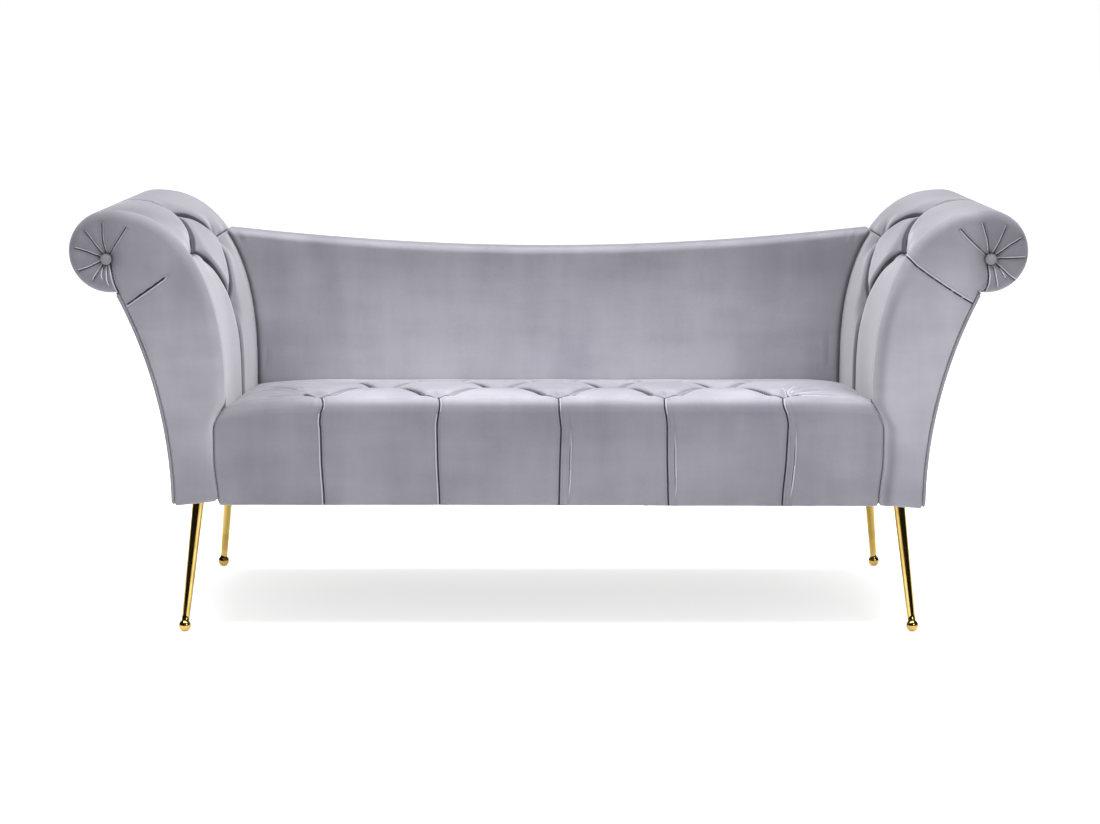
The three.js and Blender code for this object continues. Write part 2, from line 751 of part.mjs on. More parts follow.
// Height of the seat's skin before tufting, at a place given from its middle and from its front
function seatTop(x, setback) {
  const ahead = setback < seatCrownSetback;
  const run = ahead ? seatCrownSetback : seatLength - seatCrownSetback;
  const fall = (ahead ? seatFrontFall : seatRearFall) * ((setback - seatCrownSetback) / run) ** 2;
  const side = clamp((Math.abs(x) - seatTopHalf + seatSideFallWidth) / seatSideFallWidth, 0, 1);
  const drawn = 1 - Math.sqrt(1 - side ** 2);
  const height = seatCrownHeight - fall - foamTopHeight;
  const corner = seatCornerFall * (1 - smooth(setback / seatCornerDepth));
  return foamTopHeight + height * (1 - seatSideFallShare * drawn) - corner * drawn;
}

// Columns of the pad's grid that pass through every tuft, as shares of its half width
function seatColumns(setback) {
  const lattice = seatTuftShares.map((shares) => {
    const middles = shares.slice(1).map((share, i) => (share + shares[i]) / 2);
    const ends = [2 * shares[0] - middles[0], 2 * shares.at(-1) - middles.at(-1)];
    const between = shares.length < seatTuftShares[0].length ? [ends[0], ...middles, ends[1]] : middles;
    return [-1, ...[...shares, ...between].sort((a, b) => a - b), 1];
  });
  const row = clamp((setback - seatTuftSetback) / seatTuftPitch, 0, lattice.length - 1);
  const below = Math.min(Math.floor(row), lattice.length - 2);
  const places = lattice[below].map((share, i) => lerp(share, lattice[below + 1][i], row - below));
  return [-1, ...places.slice(1).flatMap((place, i) => steps(places[i], place, 4).slice(1))];
}

function seatPad() {
  const tuftRows = steps(0, seatTufts.length - 1, 4 * (seatTufts.length - 1));
  const flats = [
    ...tuftRows.map((row) => seatTuftSetback + row * seatTuftPitch),
    ...steps(seatTufts.at(-1)[0][1], seatLength, 4).slice(1),
  ];
  // Each row: how far round the front edge it lies, its share of the panel's height, and its setback
  const rows = [
    ...steps(0, 1, 4).map((rise) => ({ angle: 0, rise, setback: 0 })),
    ...steps(0, Math.PI / 2, 3)
      .slice(1)
      .map((angle) => ({ angle, rise: 1, setback: seatEdgeRadius * (1 - Math.cos(angle)) })),
    ...flats.map((setback) => ({ angle: Math.PI / 2, rise: 1, setback })),
  ];
  const outer = rows.map(({ angle, rise, setback }) =>
    seatColumns(setback).map((share) => {
      const plan = share * seatTopHalf;
      const springing = seatTop(plan, Math.max(setback, seatEdgeRadius)) - seatEdgeRadius;
      const z = lerp(undersideHeight, springing, rise) + seatEdgeRadius * Math.sin(angle);
      const drawn = tuftDraw([plan, setback - (1 - rise) * (springing - undersideHeight)], seatTufting);
      const y = seatFrontY + setback + drawn * Math.cos(angle);
      const ahead = clamp((seatPanelBack - y) / seatPanelThickness, 0, 1) ** 2;
      const half = lerp(seatTopHalf, innerEdgeX(z) - softGap, ahead);
      return point(share * half, y, z - drawn * Math.sin(angle));
    }),
  );
  const shoulder = foamTopHeight - seatPanelThickness;
  const inner = rows.map(({ angle, rise, setback }) => {
    const round = angle / (Math.PI / 2);
    const half = round ? seatTopHalf : seatUnitHalf;
    const y = setback > seatEdgeRadius ? seatFrontY + setback : seatPanelBack;
    const z = lerp(lerp(undersideHeight, shoulder, rise), foamTopHeight + fitGap, round);
    return [-half, half].map((x) => point(x, y, z));
  });
  return sheet(outer, inner);
}

// A sinuous spring: a wire that snakes from the front rail to the rear rail, arched up in the middle
function sinuousSpring(x) {
  const [from, to] = [frontRailY + railThickness - springBearing, rearRailY + springBearing];
  const places = steps(0, springLoops, 4 * springLoops).map((turn) => {
    const share = turn / springLoops;
    const swing = clamp(springSquareness * Math.sin(turn * Math.PI), -1, 1);
    const arch = springArch * (1 - (2 * share - 1) ** 2);
    return point(x + (swing * springWidth) / 2, lerp(from, to, share), springZ + arch);
  });
  const section = Array.from({ length: wireSides }, (_, i) => (2 * Math.PI * i) / wireSides).map(
    (angle) => new THREE.Vector2((springWire / 2) * Math.cos(angle), (springWire / 2) * Math.sin(angle)),
  );
  return new THREE.ExtrudeGeometry(new THREE.Shape(section), {
    steps: 5 * springLoops,
    bevelEnabled: false,
    extrudePath: new THREE.CatmullRomCurve3(places),
  });
}

function dustCover() {
  const [x, y] = [armOuterX - timberOuterInset - dustCoverMargin, formerFront - dustCoverMargin];
  const top = timberBottom - fitGap;
  const room = plateWidth / 2 + softGap;
  const openings = [-legX, legX].flatMap((legAt) =>
    [-legY, legY].map((y0) =>
      block(
        [legAt - room, legAt + room],
        [y0 - Math.sign(y0) * room, Math.sign(y0) * (formerFront + cutOverrun)].sort((a, b) => a - b),
        [undersideHeight - cutOverrun, timberBottom + cutOverrun],
      ),
    ),
  );
  return cut(block([-x, x], [-y, y], [top - dustCoverThickness, top]), ...openings);
}

// Back
const backShares = steps(-1, 1, 16);
const backTop = (share) => backTopHeight + backTopDip * share ** 2;
const backFootZ = seatCrownHeight - seatRearFall - backPadOverlap;

function backPad() {
  const half = (z) => flareX(z) - softGap;
  const crown = (share) => backCrown * share ** 4;
  const outer = [
    ...steps(0, 1, 6).map((rise) => (share) => {
      const z = lerp(backFootZ, backTop(share) - backEdgeRadius, rise);
      return point(share * half(z), backFaceY + crown(share), z);
    }),
    ...steps(0, Math.PI / 2, 4).slice(1).map((angle) => (share) => {
      const z = backTop(share) - backEdgeRadius * (1 - Math.sin(angle));
      const y = backFaceY + crown(share) + backEdgeRadius * (1 - Math.cos(angle));
      return point(share * half(z), y, z);
    }),
    ...steps(0, Math.PI / 2, 2).map((angle) => (share) => {
      const z = backTop(share) - backRearEdgeRadius * (1 - Math.cos(angle));
      return point(share * half(z), backRearY - backRearEdgeRadius * (1 - Math.sin(angle)), z);
    }),
    (share) => {
      const z = backTop(share) - backTopPadding;
      return point(share * half(z), backRearY, z);
    },
  ].map((place) => backShares.map(place));
  const under = (share) => backTop(share) - backTopPadding;
  const inner = [
    ...steps(0, 1, 6).map((rise) => (share) => {
      const z = lerp(backFootZ, under(share), rise);
      return point(share * half(z), backFrameY - fitGap, z);
    }),
    ...steps(backFrameY - fitGap, backCoverY, 7).map((y) => (share) => {
      return point(share * half(under(share)), y, under(share));
    }),
  ].map((place) => backShares.map(place));
  return sheet(outer, inner);
}

function backTopRail() {
  const bottom = backTopHeight - backTopPadding - backTopRailHeight;
  const half = (z) => flareX(z) - softGap;
  const crest = backShares.map((share) => {
    const z = backTop(share) - backTopPadding - fitGap;
    return [share * half(z), z];
  });
  const ends = steps(bottom, crest[0][1], 8).slice(0, -1).map((z) => [half(z), z]);
  const left = ends.map(([x, z]) => [-x, z]).reverse();
  return board([...left, ...ends, ...crest.reverse()], [backFrameY, backFrameY + backFrameDepth]);
}

function backUpright(x) {
  const half = backUprightWidth / 2;
  return block(
    [x - half, x + half],
    [backFrameY, backFrameY + backFrameDepth],
    [
      timberBottom + backBottomRailHeight + fitGap,
      backTopHeight - backTopPadding - backTopRailHeight - fitGap,
    ],
  );
}

function backRearCover() {
  const levels = [undersideHeight, ...steps(foamTopHeight, flareZ, 3)].map((z) => () => z);
  const rises = steps(0, 1, 5).slice(1);
  const upper = rises.map((rise) => (share) => lerp(flareZ, backTop(share) - backTopPadding - softGap, rise));
  const face = (y) =>
    [...levels, ...upper].map((height) =>
      backShares.map((share) => {
        const z = height(share);
        return point(share * (innerEdgeX(z) - softGap), y, z);
      }),
    );
  return sheet(face(backRearY), face(backCoverY));
}

// Legs
function leg() {
  const radius = footDiameter / 2;
  const foot = point(legX + legSplaySideways, -legY - legSplayForward, Math.sqrt(radius ** 2 - footFlatRadius ** 2));
  const axis = point(legX, -legY, plateBottom).sub(foot);
  const ankle = Math.acos(legBottomDiameter / footDiameter);
  const ball = steps(-Math.PI / 2, ankle, 8).map((angle) => [radius * Math.cos(angle), radius * Math.sin(angle)]);
  const top = axis.length() + cutOverrun;
  const shaft = turning([[0, -radius], ...ball.slice(1), [legTopDiameter / 2, top], [0, top]]);
  shaft.applyQuaternion(new THREE.Quaternion().setFromUnitVectors(point(0, 0, 1), axis.normalize()));
  shaft.translate(foot.x, foot.y, foot.z);
  const around = [-overallWidth, overallWidth];
  const shortened = cut(
    shaft,
    block(around, around, [plateBottom - fitGap, plateBottom + overallWidth]),
    block(around, around, [-overallWidth, 0]),
  );
  const stud = rod(studDiameter / 2, [plateBottom - fitGap - studSink, plateBottom + studRise]);
  return join(shortened, stud.translate(legX, -legY, 0));
}

function legPlate() {
  const [half, r] = [plateWidth / 2, plateCornerRadius];
  const shape = new THREE.Shape()
    .absarc(half - r, half - r, r, 0, Math.PI / 2)
    .absarc(r - half, half - r, r, Math.PI / 2, Math.PI)
    .absarc(r - half, r - half, r, Math.PI, 1.5 * Math.PI)
    .absarc(half - r, r - half, r, 1.5 * Math.PI, 2 * Math.PI);
  const hole = (x, y, radius) => new THREE.Path().absarc(x, y, radius, 0, 2 * Math.PI);
  const spread = [-plateHoleSpacing / 2, plateHoleSpacing / 2];
  shape.holes.push(hole(0, 0, studDiameter / 2 + boreClearance));
  shape.holes.push(...spread.flatMap((x) => spread.map((y) => hole(x, y, plateHoleDiameter / 2))));
  const settings = { depth: plateThickness, bevelEnabled: false, curveSegments: 5 };
  return new THREE.ExtrudeGeometry(shape, settings).translate(legX, -legY, plateBottom);
}

function armBolt(y) {
  const start = endRailX - fitGap - boltHeadThickness;
  const head = rod(boltHeadWidth / 2, [start, endRailX - fitGap], hexSides);
  const shank = rod(boltDiameter / 2, [start + boltHeadThickness / 2, armInnerX + boltGrip]);
  return join(head, shank)
    .rotateY(Math.PI / 2)
    .translate(0, y, boltHeight);
}

const couch = new THREE.Group();

function place(name, geometry, material) {
  const mesh = new THREE.Mesh(geometry, material);
  mesh.name = name;
  couch.add(mesh);
}

const railHalf = endRailX - fitGap;
const railZ = [timberBottom, railTop];
const betweenRails = [frontRailY + railThickness + fitGap, rearRailY - fitGap];
place("seat_front_rail", block([-railHalf, railHalf], [frontRailY, frontRailY + railThickness], railZ), timber);
place("seat_rear_rail", block([-railHalf, railHalf], [rearRailY, rearRailY + railThickness], railZ), timber);
place("seat_foam", block([-seatTopHalf, seatTopHalf], [frontRailY, seatRearY], [foamBottom, foamTopHeight]), foam);
place("seat_pad", seatPad(), velvet);
place("seat_dust_cover", dustCover(), blackCloth);
for (let i = 0; i < springCount; i += 1) {
  place(`seat_spring_${i + 1}`, sinuousSpring((i - (springCount - 1) / 2) * springPitch), springSteel);
}
place("back_top_rail", backTopRail(), timber);
place(
  "back_bottom_rail",
  block([-seatUnitHalf, seatUnitHalf], [backFrameY, backFrameY + backFrameDepth], [
    timberBottom,
    timberBottom + backBottomRailHeight,
  ]),
  timber,
);
place("back_upright_centre", backUpright(0), timber);
place("back_pad", backPad(), velvet);
place("back_rear_cover", backRearCover(), velvet);

const right = {
  pad: armPad(),
  panel: bentPanel(),
  former: former(),
  baseRail: armBaseRail(),
  batten: rollBatten(),
  cover: outerCover(),
  facing: new Facing().geometry(),
  piping: piping(),
  button: buttonCap(),
  leg: leg(),
  plate: legPlate(),
};
const endRail = cut(block([endRailX, seatUnitHalf], [frontRailY, rearRailY + railThickness], railZ), ...boltBores());
const crossRail = block([crossRailX - railThickness, crossRailX], betweenRails, [
  timberBottom,
  timberBottom + crossRailHeight,
]);
const upright = backUpright(seatTopHalf - backUprightWidth / 2);

for (const [side, sign] of Object.entries({ left: -1, right: 1 })) {
  const add = (name, geometry, material) => place(name, mirrored(geometry, sign, 1), material);
  add(`seat_end_rail_${side}`, endRail, timber);
  add(`seat_cross_rail_${side}`, crossRail, timber);
  add(`back_upright_${side}`, upright, timber);
  add(`${side}_arm_pad`, right.pad, velvet);
  add(`${side}_arm_bent_panel`, right.panel, plywood);
  add(`${side}_arm_base_rail`, right.baseRail, timber);
  add(`${side}_arm_roll_batten`, right.batten, timber);
  add(`${side}_arm_outer_cover`, right.cover, velvet);
  for (const [end, way] of Object.entries({ front: 1, rear: -1 })) {
    const ending = (name, geometry, material) => place(name, mirrored(geometry, sign, way), material);
    ending(`${side}_arm_${end}_former`, right.former, plywood);
    ending(`${side}_arm_${end}_facing`, right.facing, velvet);
    ending(`${side}_arm_${end}_piping`, right.piping, velvet);
    ending(`${side}_arm_${end}_button`, right.button, velvet);
    ending(`${end}_${side}_leg`, right.leg, brassPlate);
    ending(`${end}_${side}_leg_plate`, right.plate, zincSteel);
    const bolt = armBolt(way * boltPlaces[0]);
    place(`${side}_arm_bolt_${end}`, mirrored(bolt, sign, 1), zincSteel);
  }
}

export default couch;
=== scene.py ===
"""The looks of a fainting couch: tufted velvet, flared scroll arms with pleated faces, welts and gilt legs.

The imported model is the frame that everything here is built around. Lengths are in metres, +X is the right as
seen from the front, +Y runs to the back and +Z up. The origin is on the floor, under the middle of the couch.
"""

import json
import logging
import math
from collections.abc import Iterator, Sequence
from contextlib import contextmanager
from dataclasses import dataclass, field, replace
from enum import Enum
from functools import cached_property

import bmesh
import bpy
import numpy as np
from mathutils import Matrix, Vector


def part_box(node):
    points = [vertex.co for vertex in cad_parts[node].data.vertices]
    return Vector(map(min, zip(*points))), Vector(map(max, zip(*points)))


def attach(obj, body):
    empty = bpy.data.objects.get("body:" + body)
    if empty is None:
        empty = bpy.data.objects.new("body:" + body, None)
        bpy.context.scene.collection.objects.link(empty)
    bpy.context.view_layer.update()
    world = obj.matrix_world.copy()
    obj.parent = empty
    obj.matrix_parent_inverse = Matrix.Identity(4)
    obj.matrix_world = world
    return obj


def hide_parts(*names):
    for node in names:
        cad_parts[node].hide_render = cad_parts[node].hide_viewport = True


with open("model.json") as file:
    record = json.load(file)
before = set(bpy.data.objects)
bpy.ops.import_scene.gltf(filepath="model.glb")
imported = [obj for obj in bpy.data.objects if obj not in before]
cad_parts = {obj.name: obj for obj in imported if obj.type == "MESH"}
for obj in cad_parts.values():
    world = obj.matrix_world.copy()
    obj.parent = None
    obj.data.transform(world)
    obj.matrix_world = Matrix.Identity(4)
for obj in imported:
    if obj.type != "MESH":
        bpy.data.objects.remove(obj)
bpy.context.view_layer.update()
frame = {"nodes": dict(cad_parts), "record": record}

Array = np.ndarray
Point = tuple[float, float]
Colour = tuple[float, float, float]
Place = tuple[float, float, float]
Looks = dict[str, np.ndarray]
MM = 0.001
TINY = 1e-12
HAIR = 0.3 * MM
FAR_FOLD = 12 * MM
GLOOM_REACH = 3.2 * MM
SOFT_THIN = 0.8 * MM
FADED_THIN = 4 * MM
ON_LINE = 0.001 * MM
PINCH_SPOT = 7 * MM
PINCH_SHADE = 0.6
LIFT = 0.02 * MM
HELD_FROM = 0.2
SLIT_POWER = 1.5
LIP_PLACE = 2.4
LIP_SPREAD = 1.2
LIP_ON_RIGHT = 0.6
# Looks that the velvet reads from each point: nearness to a fold, the side of its painted highlight, painted shade, and
# painted light and shade.
LOOK_NAMES = ("fold", "side", "shade", "nap")

log = logging.getLogger("couch")


class Side(Enum):
    """The two arms, as seen from the front. The value is the sign of X."""

    LEFT = -1
    RIGHT = 1

    @property
    def word(self) -> str:
        """The side's name in the names of pieces."""
        return self.name.lower()


class End(Enum):
    """The two ends of an arm. The value is the sign of Y."""

    FRONT = -1
    REAR = 1

    @property
    def word(self) -> str:
        """The end's name in the names of pieces."""
        return self.name.lower()


class Slot(Enum):
    """The material slots of the record."""

    VELVET = "velvet"
    TIMBER = "timber"
    PLYWOOD = "plywood"
    FOAM = "foam"
    DUST_CLOTH = "dust_cloth"
    BRASS = "polished_brass"
    SPRING = "spring_steel"
    ZINC = "zinc_steel"


def smooth(share: Array | float) -> Array:
    """An even step from 0 to 1.

    Args:
        share: Where the step stands, 0 at its start and 1 at its end.

    Returns:
        The height of the step, with no slope at either end.
    """
    held = np.clip(share, 0, 1)
    return held * held * (3 - 2 * held)


def mix(low: Array | float, high: Array | float, share: Array | float) -> Array:
    """The value at a share of the way from one value to another."""
    return low + (high - low) * share


def ramp(place: Array | float, start: float, run: float) -> Array:
    """An even step that starts at one place and ends a run after it, or before it where the run is negative."""
    return smooth((place - start) / run)


def bell(place: Array, centre: float, width: float) -> Array:
    """A bell curve, which is 1 at its centre."""
    return np.exp(-(((place - centre) / width) ** 2))


def edge_drop(distance: Array, radius: Array | float) -> Array:
    """How far a rounded edge lies behind the flat of its face.

    Args:
        distance: Distance from the edge, along the face.
        radius: Radius that the edge is rounded to.

    Returns:
        The drop, which is the whole radius on the edge and nothing from the radius on.
    """
    near = np.clip(1 - distance / radius, 0, 1)
    return radius * (1 - np.sqrt(1 - near * near))


def spaced(start: float, end: float, spacing: float) -> Array:
    """Even places from one length to another, about a given spacing apart, both ends included."""
    return np.linspace(start, end, max(2, round(abs(end - start) / spacing) + 1))


class Route:
    """A path in a plane, measured along its length."""

    def __init__(self, points: Sequence[Point] | Array) -> None:
        """Measures the path.

        Args:
            points: Points close enough together to stand for the path's curves.
        """
        self.points = np.asarray(points, float)
        runs = np.hypot(*np.diff(self.points, axis=0).T)
        self.reach = np.concatenate([[0], np.cumsum(runs)])
        self.length = float(self.reach[-1])

    def at(self, lengths: Array | float) -> tuple[Array, Array]:
        """Places on the path and the directions square to it, on its left.

        Args:
            lengths: Lengths along the path.

        Returns:
            The places and the unit normals, with the two coordinates in the last axis.
        """
        places = np.stack([np.interp(lengths, self.reach, self.points[:, i]) for i in (0, 1)], -1)
        slopes = np.gradient(self.points, self.reach, axis=0)
        slope = np.stack([np.interp(lengths, self.reach, slopes[:, i]) for i in (0, 1)], -1)
        normal = np.stack([-slope[..., 1], slope[..., 0]], -1)
        return places, normal / np.linalg.norm(normal, axis=-1, keepdims=True)


@dataclass(frozen=True)
class Crease:
    """The section of a line that the velvet is drawn into, and how it looks.

    Pillows of a width are drawn in to a depth on both sides of it. The line itself is a narrow slit with a lip on
    each side, painted dark, and looks thinner by a given length. It gets painted shade up to a distance on one
    side, where the pillow is also narrower. Its lip gets a painted highlight, and it fades at its two ends over
    given lengths.
    """

    depth: float = 0.0
    width: float = 0.06
    slit: float = 0.004
    slit_width: float = 0.0018
    lip: float = 0.0006
    thin: float = 0.0
    gloom: float = 0.0
    gloom_side: int = 0
    gloom_to: float = 0.005
    far_share: float = 1.0
    gleam: float = 1.0
    fade_in: float = 0.0
    fade_out: float = 0.0

    @property
    def reach(self) -> float:
        """Distance from the line past which the crease changes nothing."""
        return max(self.width if self.depth else 0.0, 5 * self.slit_width, FAR_FOLD)


@dataclass(frozen=True)
class Fold:
    """A crease along a path on a piece's flat plan."""

    path: tuple[Point, ...]
    crease: Crease

    def measure(self, plan: Array) -> tuple[Array, Array, Array, Array]:
        """Places on the plan, measured against the fold's line.

        Args:
            plan: Places on the plan, a row each.

        Returns:
            Distance to the line, the side that the place lies on (from -1 on its right to 1 on its left, and 0
            straight on from its ends), how strong the fold is there from 0 to 1, and the nearest place on it.
        """
        points = np.asarray(self.path, float)
        runs = np.hypot(*np.diff(points, axis=0).T)
        distance = np.full(len(plan), np.inf)
        side, along, foot = np.ones(len(plan)), np.zeros(len(plan)), plan.copy()
        start = 0.0
        for a, b, run in zip(points, points[1:], runs):
            share = np.clip(((plan - a) @ (b - a)) / run**2, 0, 1)
            near = a + share[:, None] * (b - a)
            off = plan - near
            size = np.hypot(off[:, 0], off[:, 1])
            closer = size < distance
            distance = np.where(closer, size, distance)
            turn = (b - a)[0] * off[:, 1] - (b - a)[1] * off[:, 0]
            side = np.where(closer, turn / np.maximum(run * size, TINY), side)
            along = np.where(closer, start + share * run, along)
            foot = np.where(closer[:, None], near, foot)
            start += run
        strength = np.ones(len(plan))
        if self.crease.fade_in:
            strength = strength * smooth(along / self.crease.fade_in)
        if self.crease.fade_out:
            strength = strength * smooth((runs.sum() - along) / self.crease.fade_out)
        return distance, side, strength, foot


@dataclass(frozen=True)
class Pinch:
    """A place where the velvet is sewn down to the frame."""

    place: Point
    depth: float
    radius: float
    flatness: float = 2.0


@dataclass
class Tufting:
    """The folds and pinches of one piece's plan."""

    folds: list[Fold] = field(default_factory=list)
    pinches: list[Pinch] = field(default_factory=list)

    def near(self, plan: Array, fold: Fold) -> Array:
        """Numbers of the places that a fold may change."""
        points, reach = np.asarray(fold.path), fold.crease.reach
        return np.flatnonzero(((plan > points.min(0) - reach) & (plan < points.max(0) + reach)).all(1))

    def snapped(self, plan: Array, reach: float) -> Array:
        """Moves the places beside a sharp fold onto its line, so that the mesh has an edge there.

        Args:
            plan: Places on the plan, a row each.
            reach: Places closer than this are moved.

        Returns:
            The places, moved.
        """
        shape, plan = plan.shape, plan.reshape(-1, 2)
        moved, held = plan.copy(), np.zeros(len(plan), bool)
        for fold in self.folds:
            if fold.crease.thin > SOFT_THIN:
                continue
            chosen = self.near(plan, fold)
            distance, _, strength, foot = fold.measure(plan[chosen])
            close = (distance < reach) & (strength > HELD_FROM) & ~held[chosen]
            moved[chosen[close]] = foot[close]
            held[chosen[close]] = True
        return moved.reshape(shape)

    def drawn(self, plan: Array) -> tuple[Array, Looks]:
        """How far the velvet is drawn in, and what its finish has to know of its folds.

        Args:
            plan: Places on the plan, in the last axis.

        Returns:
            The depth of the skin under its free shape, and the looks of each place.
        """
        shape, plan = plan.shape[:-1], plan.reshape(-1, 2)
        broad, slit, lip, sides, shade, pinched = np.zeros((6, len(plan)))
        line = np.full(len(plan), FAR_FOLD)
        for fold in self.folds:
            chosen, crease = self.near(plan, fold), fold.crease
            distance, side, strength, _ = fold.measure(plan[chosen])
            on_far_side = np.clip(side * crease.gloom_side, 0, 1)
            if crease.depth:
                width = crease.width * (1 - (1 - crease.far_share) * on_far_side)
                share = np.clip(1 - distance / width, 0, 1)
                pulled = strength * crease.depth * (1 - np.sqrt(1 - share * share))
                broad[chosen] = np.maximum(broad[chosen], pulled)
            narrow = distance / crease.slit_width
            slit[chosen] = np.maximum(slit[chosen], strength * crease.slit * np.exp(-(narrow**SLIT_POWER)))
            raised = strength * crease.lip * np.exp(-((narrow - LIP_PLACE) ** 2) / LIP_SPREAD)
            raised = raised * (LIP_ON_RIGHT + (1 - LIP_ON_RIGHT) * side)
            lip[chosen] = np.maximum(lip[chosen], raised)
            # The nearest fold sets the painted dark line, and its side sets the painted highlight on the lip.
            apparent = distance + crease.thin + (1 - strength) * FADED_THIN
            nearer = apparent < line[chosen]
            line[chosen] = np.where(nearer, apparent, line[chosen])
            sides[chosen] = np.where(nearer, side * crease.gleam * (distance > ON_LINE), sides[chosen])
            # Painted shade: the far wall of a deep fold, and a spot round each pinch, are darkened.
            behind = crease.gloom_to * on_far_side
            depths = strength * crease.gloom * smooth((GLOOM_REACH + behind - distance) / GLOOM_REACH)
            shade[chosen] = np.maximum(shade[chosen], depths)
        for pinch in self.pinches:
            distance = np.hypot(*(plan - np.asarray(pinch.place)).T)
            pinched = np.maximum(pinched, pinch.depth * np.exp(-((distance / pinch.radius) ** pinch.flatness)))
            shade = np.maximum(shade, PINCH_SHADE * bell(distance, 0, PINCH_SPOT))
        near = 1 - np.clip(line, 0, FAR_FOLD) / FAR_FOLD
        looks = {"fold": near.reshape(shape), "side": sides.reshape(shape), "shade": shade.reshape(shape)}
        return (broad + slit - lip + pinched).reshape(shape), looks


def gathers(pinch: Pinch, angles: Sequence[float], length: float, depth: float = 0.0012) -> list[Fold]:
    """Short soft wrinkles that run out from a pinch.

    Args:
        pinch: Where they start.
        angles: Their directions on the plan, in degrees.
        length: Their length, which varies a little from one to the next.
        depth: How deep they are at the pinch.

    Returns:
        A fold for each angle.
    """
    folds = []
    for number, angle in enumerate(angles):
        run = length * (0.75 + 0.5 * ((number * 7) % 5) / 4)
        heading = math.radians(angle)
        x, y = pinch.place
        path = tuple((x + reach * math.cos(heading), y + reach * math.sin(heading)) for reach in (0.003, run))
        crease = Crease(
            slit=depth, slit_width=0.0042, lip=depth * 0.8, thin=0.0012, gleam=0.3, fade_out=run * 0.85
        )
        folds.append(Fold(path, crease))
    return folds


class Shell:
    """A closed skin, made of grids of points and of strips between their edges."""

    def __init__(self) -> None:
        """Starts with nothing."""
        self.points: list[Array] = []
        self.looks: dict[str, list[Array]] = {name: [] for name in LOOK_NAMES}
        self.grids: list[tuple[Array, bool]] = []
        self.flat: list[tuple[int, ...]] = []
        self.count = 0

    def add(self, points: Array, looks: Looks | None = None) -> Array:
        """Adds points.

        Args:
            points: Points, with the coordinates in the last axis.
            looks: What the finish has to know of each point.

        Returns:
            The points' numbers, in the same shape.
        """
        shape = points.shape[:-1]
        size = int(np.prod(shape))
        self.points.append(points.reshape(-1, 3))
        for name in LOOK_NAMES:
            value = (looks or {}).get(name, 0.0)
            self.looks[name].append(np.broadcast_to(value, shape).reshape(-1))
        self.count += size
        return np.arange(self.count - size, self.count).reshape(shape)

    def grid(self, numbers: Array, turned: bool = False) -> None:
        """Covers a grid of points with smooth faces."""
        self.grids.append((numbers, turned))

    def strip(self, outer: Array, inner: Array, turned: bool = False) -> None:
        """Fills the strip between two lines of points, which may differ in number, with flat faces.

        Args:
            outer: Point numbers along one line.
            inner: Point numbers along the other.
            turned: Whether the faces are turned over.
        """
        i = j = 0
        while i < len(outer) - 1 or j < len(inner) - 1:
            outer_first = (i + 1) / max(len(outer) - 1, 1) <= (j + 1) / max(len(inner) - 1, 1)
            if i < len(outer) - 1 and (outer_first or j == len(inner) - 1):
                face = (int(outer[i]), int(outer[i + 1]), int(inner[j]))
                i += 1
            else:
                face = (int(outer[i]), int(inner[j + 1]), int(inner[j]))
                j += 1
            self.flat.append(face[::-1] if turned else face)

    def closed(self, outer: Array, inner: Array) -> None:
        """Makes a closed sheet between an outer and an inner grid of point numbers.

        Args:
            outer: Point numbers of the outer grid.
            inner: Point numbers of the inner grid.
        """
        self.grid(outer)
        self.grid(inner, turned=True)
        self.strip(outer[0], inner[0])
        self.strip(outer[-1], inner[-1], turned=True)
        self.strip(outer[:, 0], inner[:, 0], turned=True)
        self.strip(outer[:, -1], inner[:, -1])

    def grid_faces(self, points: Array, way: float) -> Array:
        """The triangles of the grids, each quad split along its deeper diagonal.

        Args:
            points: All points.
            way: 1 or -1, the sign that makes a grid's own normal point outwards.

        Returns:
            A row of three point numbers for each triangle.
        """
        made = []
        for numbers, turned in self.grids:
            a, b, c, d = numbers[:-1, :-1], numbers[:-1, 1:], numbers[1:, :-1], numbers[1:, 1:]
            pa, pb, pc, pd = (points[corner] for corner in (a, b, c, d))
            outward = np.cross(pc - pa, pb - pa) * way * (-1 if turned else 1)
            deeper = ((pa + pd - pb - pc) * outward).sum(-1) < 0
            first = np.where(deeper[..., None], np.stack([a, c, d], -1), np.stack([a, c, b], -1))
            second = np.where(deeper[..., None], np.stack([a, d, b], -1), np.stack([b, c, d], -1))
            faces = np.concatenate([first.reshape(-1, 3), second.reshape(-1, 3)])
            made.append(faces[:, ::-1] if turned else faces)
        return np.concatenate(made) if made else np.zeros((0, 3), int)

    def object(self, name: str) -> bpy.types.Object:
        """Makes the Blender object.

        Args:
            name: The piece's name.

        Returns:
            The object, linked to the scene, with its faces turned out and the looks as its points' attributes.
        """
        points = np.concatenate(self.points)
        triangles = [face for face in self.flat if len(face) == 3]
        flat = np.array(triangles, int).reshape(-1, 3)
        smooth_faces = self.grid_faces(points, 1)
        corners = points[np.concatenate([smooth_faces, flat])]
        volume = np.einsum("ij,ij->i", corners[:, 0], np.cross(corners[:, 1], corners[:, 2])).sum()
        smooth_faces = self.grid_faces(points, math.copysign(1, volume))
        loops = [*smooth_faces.reshape(-1), *flat.reshape(-1)]
        starts = list(range(0, len(loops), 3))
        for face in self.flat:
            if len(face) > 3:
                starts.append(len(loops))
                loops.extend(face)
        mesh = bpy.data.meshes.new(name)
        mesh.vertices.add(len(points))
        mesh.vertices.foreach_set("co", points.astype(np.float32).reshape(-1))
        mesh.loops.add(len(loops))
        mesh.loops.foreach_set("vertex_index", np.array(loops, np.int32))
        mesh.polygons.add(len(starts))
        mesh.polygons.foreach_set("loop_start", np.array(starts, np.int32))
        is_smooth = np.zeros(len(starts), bool)
        is_smooth[: len(smooth_faces)] = True
        mesh.polygons.foreach_set("use_smooth", is_smooth)
        mesh.update(calc_edges=True)
        for label, parts in self.looks.items():
            layer = mesh.attributes.new(label, "FLOAT", "POINT")
            layer.data.foreach_set("value", np.concatenate(parts).astype(np.float32))
        mesh.validate()
        return tidied(name, mesh)


